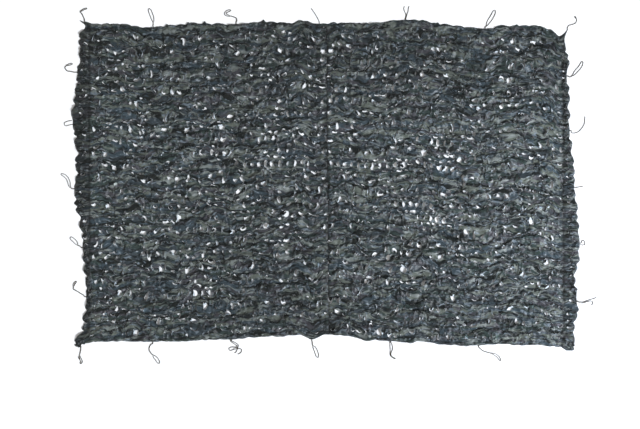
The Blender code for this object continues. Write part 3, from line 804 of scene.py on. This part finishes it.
def cut_edges(bm, leaves, at):
    """The grid edges along the U of every leaf."""
    cuts = set()
    for f in leaves:
        sides = {
            "left": [((f["a0"], n), (f["a0"], n + 1)) for n in range(f["lo"], f["hi"])],
            "right": [((f["a1"], n), (f["a1"], n + 1)) for n in range(f["lo"], f["hi"])],
            "bottom": [((n, f["lo"]), (n + 1, f["lo"])) for n in range(f["a0"], f["a1"])],
            "top": [((n, f["hi"]), (n + 1, f["hi"])) for n in range(f["a0"], f["a1"])],
        }
        for side, pairs in sides.items():
            if side != f["hinge"]:
                cuts.update(bm.edges.get((at[a], at[b])) for a, b in pairs)
    return list(cuts)


# %% [markdown]
# ### How a tongue bends
# The tongue turns about its joined side through its curl angle, its side edges roll up,
# and it twists and swings a little. The bend is that of a strip rolled to a circle: a
# point at distance b from the hinge moves to R sin(b / R) along and R (1 - cos(b / R)) up.
# The square mouth of each cut is drawn to a leaning oval with more or less pointed ends,
# as pulled cloth opens. A bend modifier would need an object for each of the leaves.

# %% Bending one tongue
LEAST_CURL = 0.03            # a nearly flat tongue still needs a finite radius
MOUTH_REACH = 0.6            # how far past its rim a mouth moves the cloth, in half mouths


def round_mouth(a, b, f, inside):
    """Mouth coordinates, -1 to 1 across it: the square drawn to a leaning oval."""
    m = max(abs(a), abs(b))
    if m < 1e-6:
        return a, b
    p = f["point"]
    full = (0.97 if inside else 1.04 + f["grow"]) / (abs(a) ** p + abs(b) ** p) ** (1.0 / p)
    blend = m ** 3 if inside else 1.0 - smooth((m - 1.0) / MOUTH_REACH)
    k = mix(1.0, full * m, blend) if inside else mix(1.0, full, blend)
    wide = k * (1.0 - f["taper"] * min(1.0, blend) * b * 0.8)
    turn = f["lean"] * (1.0 if inside else blend)
    return a * wide + b * k * turn, b * k - a * wide * turn * 0.6


def bend_point(a, b, half_width, length, f):
    """a across, b away from the hinge: across, along and up once the tongue is bent."""
    s, h = min(1.0, max(0.0, b / length)), 0.0
    roll = f["roll"] * s
    if roll > 0.02:
        h = half_width / roll * (1.0 - math.cos(roll * a / half_width))
        a = half_width / roll * math.sin(roll * a / half_width)
    turn, swing = f["twist"] * s, f["swing"] * s
    a, h = a * math.cos(turn) - h * math.sin(turn), a * math.sin(turn) + h * math.cos(turn)
    curl = max(LEAST_CURL, f["curl"])
    radius = length / curl
    along = (radius - h) * math.sin(curl * s)
    up = radius - (radius - h) * math.cos(curl * s)
    return (a * math.cos(swing) + along * math.sin(swing),
            along * math.cos(swing) - a * math.sin(swing), up)


def bent(p, f, a, b):
    """A tongue's point, rounded off and bent about its hinge, and how far it is turned."""
    base = f["centre"] + f["u"] * a + f["v"] * b
    a1, b1 = round_mouth(a, b, f, True)
    hw, hh = f["u"].length, f["v"].length
    turns = {"top": (a1, 1.0 - b1, hw, hh), "bottom": (-a1, 1.0 + b1, hw, hh),
             "left": (b1, 1.0 + a1, hh, hw), "right": (-b1, 1.0 - a1, hh, hw)}
    across, away, side, reach = turns[f["hinge"]]
    s = min(1.0, max(0.0, away / 2.0))
    across, away, up = bend_point(across * side, away * reach, side, 2.0 * reach, f)
    x, y = {"top": (across, hh - away), "bottom": (-across, away - hh),
            "left": (away - hw, across), "right": (hw - away, -across)}[f["hinge"]]
    spot = f["centre"] + f["u"].normalized() * x + f["v"].normalized() * y + (p.to_2d() - base)
    return Vector((spot.x, spot.y, mix(p.z, f["hinge_z"], s) + up + 0.4 * MM)), s * f["curl"]


# %% [markdown]
# ### Ridges, wrinkles and hems
# The height of a point is the ridge it lies on, plus creases of several sizes. Crumpled
# cloth is sharp at its creases and soft between, which the folded noise copies. Crests
# wander and lean over. Stitched lines hold the cloth down, and a row that was pulled
# open lies flatter. The turned hem puffs up and puckers between its stitching and its
# edge, one puff for each leaf folded in, which also gives the edge its small scallops.
# A sculpted or simulated sheet would have such folds too, but not in their own places.

# %% Ridges and wrinkles
CLOTH_LIFT = 4.5 * MM        # the cloth's own height between ridges
OPEN_DROP = 1.8 * MM         # how much lower a row lies where it was pulled open


def crease(x, y, reach, seed):
    """Sharp-crested unevenness, about -1 to 1."""
    return 1.0 - 4.2 * abs(wave(x, y, reach, seed))


def bunched_height(x, y, r, hold, taut):
    """Height of ridge and creases: hold and taut say how far cloth is held or pulled flat."""
    turn = r + 0.85 * wave(x, r * 0.08, 0.14, 38) * smooth(min(r, RIDGES - r) / 1.5)
    crest = 0.5 - 0.5 * math.cos(2.0 * math.pi * turn)
    z = CLOTH_LIFT + (0.70 - 0.55 * taut) * ridge_size(x, math.floor(r)) * crest * hold
    rough = mix(0.5, 1.0, hold * (1.0 - 0.8 * taut))
    z += (3.8 * MM * crease(x * 0.42, y, 0.028, 41) + 3.2 * MM * crease(x * 0.5, y, 0.0135, 42)
          + 10.5 * MM * wave(x * 0.5, y, 0.080, 43) + 4.0 * MM * wave(x, y, 0.0125, 40)) * rough
    return z - OPEN_DROP * taut


def stray(x, y, z, loose):
    """How bunched cloth shifts sideways and leans over, the more the higher it stands."""
    x += (26.0 * MM * wave(x, y, 0.075, 44) + 9.0 * MM * wave(x, y, 0.026, 45)) * loose
    lean = min(1.0, max(-0.4, 0.25 + 1.5 * wave(x * 0.5, y, 0.095, 39)))
    y += (28.0 * MM * wave(x * 0.6, y, 0.075, 46) + 10.0 * MM * wave(x * 0.8, y, 0.026, 47)
          + lean * (z - 8.0 * MM)) * loose
    return x, y


# %% Puffed hem and scalloped edge
SCALLOPS = {"left": 1.0, "right": 0.75, "top": 0.40, "bottom": 0.20}     # how strong on each side
PUFF = 70.0 * MM             # length of hem that one folded-in leaf takes up
RIM_HEIGHT = 1.6 * MM


def puff(along, seed):
    """Rounded puffs with sharp pinches between, one for each leaf folded into the hem."""
    return abs(math.sin(math.pi * (along + 0.055 * wave(along, 0.0, 0.11, seed)) / PUFF))


def scallop(side, along):
    """Small bumps of the leaves in the hem, along one edge."""
    gap = min(abs(along - s) for s in seats(side))
    free = smooth((gap - 2.0 * SEAT_HALF) / (45.0 * MM))
    tips = sum(far * MM * math.exp(-((along / MM - at) / TIP_WIDTH) ** 2) for at, far in LEAF_TIPS[side])
    bumps = (11.0 * MM * wave(along, 0.7, 0.060, 50) + 5.0 * MM * wave(along, 0.2, 0.017, 51)
             + 17.0 * MM * (puff(along, SIDE_BUMPS[side]) - 0.64))
    return tips + free * SCALLOPS[side] * bumps


def puffed_hem(half, x, y, z, c, out):
    """Height of the hem's puffs, let down to its rim, and the scallops of its edge."""
    hem = 0.0
    if c > COLUMNS:
        hem = math.sin(math.pi * min(1.0, (c - COLUMNS) / 2.0)) ** 0.6
    if out:
        hem = max(hem, math.sin(math.pi * abs(out)) ** 0.6)
    long_side = "top" if out > 0 else "bottom"
    side, along = (half, y) if c > COLUMNS else (long_side, x)
    z += hem * (8.0 * MM * puff(along, SIDE_BUMPS[side]) - 1.0 * MM + 9.0 * MM * wave(x, y, 0.036, 48)
                + 3.0 * MM * crease(x, y, 0.017, 49))
    rim = min(1.0, (COLUMNS + 2.0 - c) / 0.25, (1.0 - abs(out)) / 0.25, 0.45 + max(0.0, c) / 0.10)
    z = mix(RIM_HEIGHT, z, smooth(rim))
    if c > COLUMNS:
        x += math.copysign(1.0, x) * scallop(half, y) * smooth((c - COLUMNS) / 2.0)
    if out:
        y += math.copysign(1.0, out) * scallop(long_side, x) * smooth(abs(out))
    return x, y, z


# %% Drawn-out corners
def draw_corner(half, rows, cx, cy, x, y, z):
    """Carry the cloth round one corner out to its point, crumpled and pinched to a neck."""
    reach, core, power, crumpled, round_off, pinch = CORNER_DRAW[(half, rows)]
    lx = ripple_edge(half, y)
    ly = ripple_edge(rows, lx)
    d = math.hypot(x - lx, y - ly)
    w = smooth((reach * MM - d) / ((reach - core) * MM)) ** power
    vx, vy = round_off * MM - abs(x - lx), round_off * MM - abs(y - ly)
    if vx > 0.0 and vy > 0.0:
        k = 1.0 - max(vx, vy) / math.hypot(vx, vy)
        x, y = x - math.copysign(vx * k, x), y - math.copysign(vy * k, y)
    near = smooth(1.2 - d / (reach * MM))
    z *= 1.0 - 0.5 * near
    z += (3.0 * w * (1.0 - w) + near * crumpled * (0.25 + 0.9 * wave(x, y, 0.011, 37))) * MM
    rel, axis = Vector((x - lx, y - ly)), Vector((cx * MM - lx, cy * MM - ly))
    ahead = axis.normalized() * rel.dot(axis.normalized())
    spot = ahead + (rel - ahead) * (1.0 - pinch * w) + axis * w
    shake = near * crumpled * 1.3 * MM
    return (lx + spot.x + shake * wave(spot.x, spot.y, 0.012, 35),
            ly + spot.y + shake * wave(spot.x, spot.y, 0.012, 36), z)


# %% Where a point of the cloth comes to lie
LOWEST, LOWEST_LIP = 0.8 * MM, 0.7 * MM          # heights of laid cloth and of a mouth's rim
SOFT_FROM, SOFT_ROOM = 20.0 * MM, 14.0 * MM      # height runs out softly from here, within this


def cloth_spot(half, x, y, c, r, out):
    """A point of the laid cloth, before its leaves are bent."""
    hold, taut = calm(x, y), pulled(x, y)
    loose = hold * smooth((COLUMNS + 2.0 - c) / 0.9) * smooth((1.0 - abs(out)) / 0.9) * (1.0 - 0.8 * taut)
    z = bunched_height(x, y, r, hold, taut)
    x, y = stray(x, y, z, loose)
    x, y, z = puffed_hem(half, x, y, z, c, out)
    for end, rows, cx, cy in CORNERS:
        if end == half and (rows == "top") == (y > 0.0):
            x, y, z = draw_corner(half, rows, cx, cy, x, y, z)
    return Vector((x, y, max(z, LOWEST)))


def keep_low(z):
    """Loose leaves lean over rather than stand up, so height runs out softly."""
    if z < SOFT_FROM:
        return z
    return SOFT_FROM + SOFT_ROOM * (1.0 - math.exp(-(z - SOFT_FROM) / SOFT_ROOM))


# %% [markdown]
# ### From a flat grid to a width of the net
# The grid of each width is cut along its leaves while it is still flat, because then its
# points are easy to number. After that every point is carried to its place, tongues are
# bent, and the rims of the mouths are drawn open. Four attributes go with the points and
# tell the print what to draw there: cut yarn with a painted highlight, painted light and
# shade on a leaf, a tongue turned over, and painted shade on stitched lines, the seam,
# fold lines, hems and bunched corners. The UV map keeps the flat cloth's own measure, in
# metres, so the print isn't stretched.

# %% The flat grid, cut and laid
def cloth_grid(half):
    """A flat grid whose points know their mesh column and row, cut along every leaf."""
    bm = bmesh.new()
    number_i = bm.verts.layers.int.new("mesh_column")
    number_j = bm.verts.layers.int.new("mesh_row")
    bmesh.ops.create_grid(bm, x_segments=MESH_COLUMNS, y_segments=MESH_ROWS, size=1.0)
    at = {}
    for v in bm.verts:
        i = round((v.co.x + 1.0) / 2.0 * MESH_COLUMNS)
        v[number_i] = MESH_COLUMNS - i if half == "left" else i
        v[number_j] = round((v.co.y + 1.0) / 2.0 * MESH_ROWS)
        at[(v[number_i], v[number_j])] = v
    leaves = plan_leaves(half)
    bmesh.ops.split_edges(bm, edges=cut_edges(bm, leaves, at))
    return bm, leaves


def lay_spots(half, leaves):
    """Where every mesh point lies before the leaves are bent, and each leaf's frame."""
    spots = {}
    for i in range(MESH_COLUMNS + 1):
        c = column_of(i)
        for j in range(MESH_ROWS + 1):
            r, out = row_of(j)
            x, y = place(half, c, r, out)
            spots[(i, j)] = cloth_spot(half, x, y, c, r, out)
    for f in leaves:
        west_low, west_high = spots[(f["a0"], f["lo"])], spots[(f["a0"], f["hi"])]
        east_low, east_high = spots[(f["a1"], f["lo"])], spots[(f["a1"], f["hi"])]
        f["centre"] = ((west_low + west_high + east_low + east_high) / 4.0).to_2d()
        f["u"] = ((east_low + east_high - west_low - west_high) / 4.0).to_2d()
        f["v"] = ((west_high + east_high - west_low - east_low) / 4.0).to_2d()
        ends = {"top": (west_high, east_high), "bottom": (west_low, east_low),
                "left": (west_low, west_high), "right": (east_low, east_high)}[f["hinge"]]
        f["hinge_z"] = (ends[0].z + ends[1].z) / 2.0
    return spots


# %% Tongues, mouths and marks
# marks for the print: pale cut yarn with a painted highlight, painted light and shade of a leaf, a turned
# tongue, and painted shade
MARKS = ("yarn_and_glint", "leaf_light_shade", "turned_over", "painted_shade")
HEM_SHADE = {"left": 0.75, "right": 0.25}        # painted shade on the hem of each width
PLAIN_TONE = 0.14                                # painted light and shade of cloth that belongs to no leaf


def mouth_place(i, j, f):
    """Mouth coordinates of a mesh point."""
    return (2.0 * (i - f["a0"]) / (f["a1"] - f["a0"]) - 1.0,
            2.0 * (j - f["lo"]) / (f["hi"] - f["lo"]) - 1.0)


def leaves_at(leaves):
    """The leaf that fills each mesh cell, and the leaves with a mouth near each mesh point."""
    owner, near = {}, {}
    for f in leaves:
        for i in range(f["a0"], f["a1"]):
            for j in range(f["lo"], f["hi"]):
                owner[(i, j)] = f
        for i in range(f["a0"] - 2, f["a1"] + 3):
            for j in range(f["lo"] - 2, f["hi"] + 3):
                near.setdefault((i, j), []).append(f)
    return owner, near


def shade_painted_here(half, x, y, in_hem):
    """0 to 1: painted shade along the stitched lines and the seam, on the fold lines and the hem, and round
    the bunched corners.
    """
    seam = abs(x - seam_x(y))
    stitched = min(abs(x - HEM_LINE[half]), seam * 1.6 + 1.0 * MM)
    fold = min([abs(x - fx * MM) for fx, y0, y1 in FOLD_SHADE_LINES if y0 * MM < y < y1 * MM] + [1.0])
    spot_away = min(math.hypot(x - cx * MM, y - cy * MM) for cx, cy in SHADE_SPOTS)
    return max(0.0, 1.0 - stitched / (16.0 * MM), 0.55 - fold / (16.0 * MM), 0.30 - seam / (93.0 * MM),
               0.65 - spot_away / 0.20, HEM_SHADE[half] if in_hem else 0.0)


def open_mouths(p, key, leaves, on_rim):
    """Move a point with the mouths round it: its new place, and the strength of the pale cut yarn and its
    painted highlight there.
    """
    p, rim_glint = p.copy(), 0.0
    for f in leaves:
        a, b = mouth_place(*key, f)
        a1, b1 = round_mouth(a, b, f, False)
        shift = f["u"] * (a1 - a) + f["v"] * (b1 - b)
        lip = max(0.0, 1.0 - (max(abs(a), abs(b)) - 1.0) / MOUTH_REACH) ** 2
        p.x, p.y = p.x + shift.x, p.y + shift.y
        p.z += f["lip"] * lip * (0.6 + 0.4 * math.cos(math.atan2(b, a) - f["phase"]))
        # a cut rim: pale yarn with a painted highlight, the stronger the more the leaf is curled
        if on_rim and lip > 0.9:
            rim_glint = max(rim_glint, min(0.85, 0.3 * f["curl"]))
    return p, rim_glint


def move_points(bm, half, leaves):
    """Carry every point of the cut grid to its place, and mark it for the print."""
    number_i, number_j = bm.verts.layers.int["mesh_column"], bm.verts.layers.int["mesh_row"]
    cut, tone, turned, shade_layer = [bm.verts.layers.float.new(mark) for mark in MARKS]
    spots = lay_spots(half, leaves)
    owner, near = leaves_at(leaves)
    cells_round = {}
    for face in bm.faces:
        cell = (min(v[number_i] for v in face.verts), min(v[number_j] for v in face.verts))
        for v in face.verts:
            cells_round.setdefault(v, []).append(owner.get(cell))
    for v in bm.verts:
        key, cells = (v[number_i], v[number_j]), cells_round[v]
        f = cells[0]
        if f is not None and all(other is f for other in cells):
            p, v[turned] = bent(spots[key], f, *mouth_place(*key, f))
            v[tone] = f["tone"]
            # a tongue's cut rim: pale yarn with a painted highlight that grows with its curl
            v[cut] = min(1.0, 0.30 + 0.45 * f["curl"]) if v.is_boundary else 0.0
        else:
            p, v[cut] = open_mouths(spots[key], key, near.get(key, ()), v.is_boundary)
            v[tone] = PLAIN_TONE
        p.z = keep_low(max(p.z, LOWEST_LIP))
        v.co = p
        # painted shade: stitched lines, the seam, fold lines, the hem and the bunched corners are drawn
        # darker
        v[shade_layer] = shade_painted_here(half, p.x, p.y, key[0] > HEM_START)


# %% Flat map, turned edge and the finished width
PRINT_SHIFT = 7.3            # the left width is another stretch of the same printed roll, metres
TURN_UNDER = 2.5 * MM        # how far the edge goes back under
EDGE_HEIGHT = 0.25 * MM      # of the turned edge over the floor


def map_flat(bm, half):
    """The UV map: places on the flat cloth, in metres."""
    number_i, number_j = bm.verts.layers.int["mesh_column"], bm.verts.layers.int["mesh_row"]
    flat = bm.loops.layers.uv.new("flat")
    for face in bm.faces:
        for loop in face.loops:
            c = column_of(loop.vert[number_i])
            r, out = row_of(loop.vert[number_j])
            u = c * REPEAT if c <= COLUMNS else COLUMNS * REPEAT + (c - COLUMNS) * HEM_MIN
            loop[flat].uv = (u if half == "right" else PRINT_SHIFT - u, r * ROW + HEM_BAND * (1.0 + out))


def turn_edge_under(bm):
    """Carry the outer edge down to the floor and a little way under."""
    number_i, number_j = bm.verts.layers.int["mesh_column"], bm.verts.layers.int["mesh_row"]
    rim = [e for e in bm.edges if e.is_boundary and all(
        v[number_i] == MESH_COLUMNS or v[number_j] in (0, MESH_ROWS) for v in e.verts)]
    made = bmesh.ops.extrude_edge_only(bm, edges=rim)
    for v in [g for g in made["geom"] if isinstance(g, bmesh.types.BMVert)]:
        if v[number_i] == MESH_COLUMNS:
            v.co.x -= math.copysign(TURN_UNDER, v.co.x)
        if v[number_j] in (0, MESH_ROWS):
            v.co.y -= math.copysign(TURN_UNDER, v.co.y)
        v.co.z = EDGE_HEIGHT


def cloth_width(name, half):
    bm, leaves = cloth_grid(half)
    move_points(bm, half, leaves)
    map_flat(bm, half)
    turn_edge_under(bm)
    bmesh.ops.recalc_face_normals(bm, faces=bm.faces[:])
    mesh = bpy.data.meshes.new(name)
    bm.to_mesh(mesh)
    bm.free()
    if sum(p.normal.z for p in mesh.polygons) < 0:
        mesh.flip_normals()
    mesh.shade_smooth()
    print(name, "leaves", len(leaves), "faces", len(mesh.polygons),
          "area", round(sum(p.area for p in mesh.polygons), 2))
    return add_object(name, mesh)


# %% [markdown]
# ### The printed cloth
# The cloth is light woven polyester with a dull coating, printed in horizontal blotches of
# slate, dark green, mauve grey, olive grey and near black, as ordinary camouflage is. The
# print follows the cloth's own flat coordinates, so it bends with every leaf. Each colour
# is a noise pattern, cut off at its own share. An image of a print would do as well, but
# noise needs no file and never repeats.
#
# To the eye it is dull and blotched, with small bright breaks. The coating gives a weak
# satin highlight. The back, where a tongue is turned over, is unprinted and pale, and
# where the cloth is cut, the pale yarn shows as a thin light line, with a painted
# highlight on it that is stronger the more a leaf is curled. Crumpled cloth breaks up the
# light in flat facets, which are finer than the mesh and so are drawn as bump.
# Light and shade are also painted into the colour: each leaf is drawn a little lighter or
# darker, the colours are lighter towards the two ends and darker towards the top and the
# bottom, and painted shade darkens the stitched lines, the seam, a few upright fold lines,
# the hems and the bunched corners.

# %% Printed cloth material: colours and sizes
CLOTH_BASE = "#2d353a"
# (seed, width and height in millimetres, level of the noise that it starts from, colour)
BLOTCHES = ((1, 190, 42, 0.50, "#2a3634"), (2, 170, 40, 0.55, "#3a3a3f"), (3, 180, 38, 0.55, "#555b55"),
            (4, 120, 28, 0.59, "#696f6d"), (5, 140, 32, 0.56, "#0d1312"), (6, 220, 50, 0.60, "#303c43"),
            (7, 42, 13, 0.61, "#5d676f"), (8, 50, 13, 0.58, "#10171a"))
BLOTCH_SOFT = 0.018          # a printed edge that has bled a little
# the unprinted back; and the pale cut yarn, which also carries a painted highlight on curled rims
UNPRINTED, YARN_AND_GLINT = "#c4ced6", "#c2cbd0"
# painted light that grows or falls across the cloth: (how far out or up, from here, to there, its shade
# here, its shade there), metres
LIGHT_SLOPES = (("out", 0.4, 1.4, 0.96, 1.20), ("up", 0.35, 0.80, 1.0, 0.74), ("up", -0.85, -0.40, 0.90, 1.0))
DARKEST_PAINTED_SHADE = 0.20             # painted shade at its darkest, as a share of the open cloth's colour
THREAD = 1.5                 # threads are about 0.6 mm apart, drawn wider so that they show
BROAD_FACETS, FINE_FACETS, FINE_SHARE = (32, 14), (13, 8), 0.42
FACET_DEPTH = 13.0 * MM


# %% Printed cloth material
def printed_cloth(name, shift, lightness):
    """Printed polyester, its print moved along the roll and its colours drawn lighter as a whole."""
    material, tree, shader = new_material(name)
    uv = node(tree, "ShaderNodeUVMap", uv_map="flat").outputs["UV"]
    marks = {mark: node(tree, "ShaderNodeAttribute", attribute_name=mark).outputs["Fac"] for mark in MARKS}

    def per_mm(wide, tall):
        return (1.0 / (wide * MM), 1.0 / (tall * MM), 1.0)

    # the print
    colour = node(tree, "ShaderNodeRGB")
    colour.outputs[0].default_value = srgb(CLOTH_BASE)
    last = colour.outputs[0]
    for seed, wide, tall, level, code in BLOTCHES:
        spot = node(tree, "ShaderNodeMapping", {"Vector": uv, "Scale": per_mm(wide, tall),
                                                "Location": (seed * 3.7 + shift, seed * 1.9, seed)})
        field = node(tree, "ShaderNodeTexNoise", {"Vector": spot.outputs["Vector"], "Scale": 1.0,
                                                  "Detail": 3.0, "Roughness": 0.55, "Distortion": 0.4})
        mask = node(tree, "ShaderNodeMapRange", {"Value": field.outputs["Fac"], 1: level - BLOTCH_SOFT,
                                                 2: level + BLOTCH_SOFT}).outputs["Result"]
        last = node(tree, "ShaderNodeMix", {0: mask, 6: last, 7: srgb(code)}, data_type="RGBA").outputs[2]

    # painted light and shade: each leaf is drawn a little lighter or darker, as if it caught more or less
    # light; turned tongues are pale, and cut yarn is pale with a painted highlight
    shade = node(tree, "ShaderNodeMapRange", {"Value": marks["leaf_light_shade"], 3: 0.72, 4: 2.5})
    last = node(tree, "ShaderNodeMix", {0: 1.0, 6: last, 7: shade.outputs["Result"]}, data_type="RGBA",
                blend_type="MULTIPLY").outputs[2]
    back = node(tree, "ShaderNodeMapRange", {"Value": marks["turned_over"], 1: 1.3, 2: 1.7, 4: 0.95})
    last = node(tree, "ShaderNodeMix", {0: back.outputs["Result"], 6: last, 7: srgb(UNPRINTED)},
                data_type="RGBA").outputs[2]
    # pale cut yarn with a painted highlight on curled rims
    yarn_glint = node(tree, "ShaderNodeMapRange", {"Value": marks["yarn_and_glint"], 1: 0.55, 2: 1.0, 4: 0.7})
    last = node(tree, "ShaderNodeMix", {0: yarn_glint.outputs["Result"], 6: last, 7: srgb(YARN_AND_GLINT)},
                data_type="RGBA").outputs[2]

    # painted shade on stitched lines, the seam, fold lines, hems and corners, the width's lightness, and
    # painted light that changes across the cloth
    shade_and_light = node(tree, "ShaderNodeMapRange", {"Value": marks["painted_shade"], 3: lightness,
                                             4: DARKEST_PAINTED_SHADE * lightness}).outputs["Result"]
    where = node(tree, "ShaderNodeTexCoord").outputs["Object"]
    where = node(tree, "ShaderNodeSeparateXYZ", {"Vector": where}).outputs
    outwards = node(tree, "ShaderNodeMath", {0: where["X"]}, operation="ABSOLUTE").outputs[0]
    far = {"out": outwards, "up": where["Y"]}
    for way, start, end, low, high in LIGHT_SLOPES:
        lit_share = node(tree, "ShaderNodeMapRange", {"Value": far[way], 1: start, 2: end, 3: low, 4: high})
        shade_and_light = node(tree, "ShaderNodeMath", {0: shade_and_light, 1: lit_share.outputs["Result"]},
                    operation="MULTIPLY").outputs[0]
    last = node(tree, "ShaderNodeMix", {0: 1.0, 6: last, 7: shade_and_light}, data_type="RGBA",
                blend_type="MULTIPLY").outputs[2]
    tree.links.new(last, shader.inputs["Base Color"])

    # the weave, and a little waviness for the facets' borders
    thread = node(tree, "ShaderNodeMapping", {"Vector": uv, "Scale": per_mm(THREAD, THREAD)})
    checks = node(tree, "ShaderNodeTexVoronoi", {"Vector": thread.outputs["Vector"], "Scale": 1.0,
                                                 "Randomness": 0.25})
    bends = node(tree, "ShaderNodeTexNoise", {"Vector": uv, "Scale": 1.0 / (20.0 * MM), "Detail": 2.0})
    bends = node(tree, "ShaderNodeVectorMath", {0: bends.outputs["Color"], 1: (0.018, 0.012, 0.0)},
                 operation="MULTIPLY")
    bends = node(tree, "ShaderNodeVectorMath", {0: bends.outputs[0], 1: uv}, operation="ADD").outputs[0]

    def facets(wide, tall):
        """Flat facets, each with a slant of its own, as the faces of crumpled cloth."""
        cells = node(tree, "ShaderNodeMapping", {"Vector": bends, "Scale": per_mm(wide, tall)})
        spot = node(tree, "ShaderNodeTexVoronoi", {"Vector": cells.outputs["Vector"], "Scale": 1.0},
                    voronoi_dimensions="2D")
        away = node(tree, "ShaderNodeVectorMath", {0: cells.outputs["Vector"], 1: spot.outputs["Position"]},
                    operation="SUBTRACT")
        slant = node(tree, "ShaderNodeVectorMath", {0: spot.outputs["Color"], 1: (0.5, 0.5, 0.5)},
                     operation="SUBTRACT")
        return node(tree, "ShaderNodeVectorMath", {0: away.outputs[0], 1: slant.outputs[0]},
                    operation="DOT_PRODUCT").outputs["Value"]

    fine = node(tree, "ShaderNodeMath", {0: facets(*FINE_FACETS), 1: FINE_SHARE},
                operation="MULTIPLY").outputs[0]
    folded = node(tree, "ShaderNodeMath", {0: facets(*BROAD_FACETS), 1: fine}, operation="ADD").outputs[0]
    weave = node(tree, "ShaderNodeBump", {"Height": checks.outputs["Distance"], "Distance": 0.2 * MM,
                                          "Strength": 0.35})
    relief = node(tree, "ShaderNodeBump", {"Height": folded, "Distance": FACET_DEPTH,
                                           "Strength": 0.74, "Normal": weave.outputs["Normal"]})
    tree.links.new(relief.outputs["Normal"], shader.inputs["Normal"])
    shader.inputs["Roughness"].default_value = 0.42
    shader.inputs["Specular IOR Level"].default_value = 0.35
    shader.inputs["Sheen Weight"].default_value = 0.06
    return material


# %% [markdown]
# ### The two widths
# Both widths come off one printed roll, so they share their functions. They differ in
# their side of the seam, their stretch of print and how much lighter their colours are
# drawn. A width is larger while it is still flat, and that flat size goes with each piece.

# %% Both widths
# (width, how far its print is moved along the roll, how much lighter its colours are drawn)
WIDTHS = (("left", 0.0, 1.04), ("right", 5.0, 1.175))
for half, shift, lightness in WIDTHS:
    width = cloth_width("leafcut_cloth_" + half, half)
    width.data.materials.append(printed_cloth("printed_polyester_" + half, shift, lightness))
    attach(width, "root")
    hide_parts("cloth_" + half)
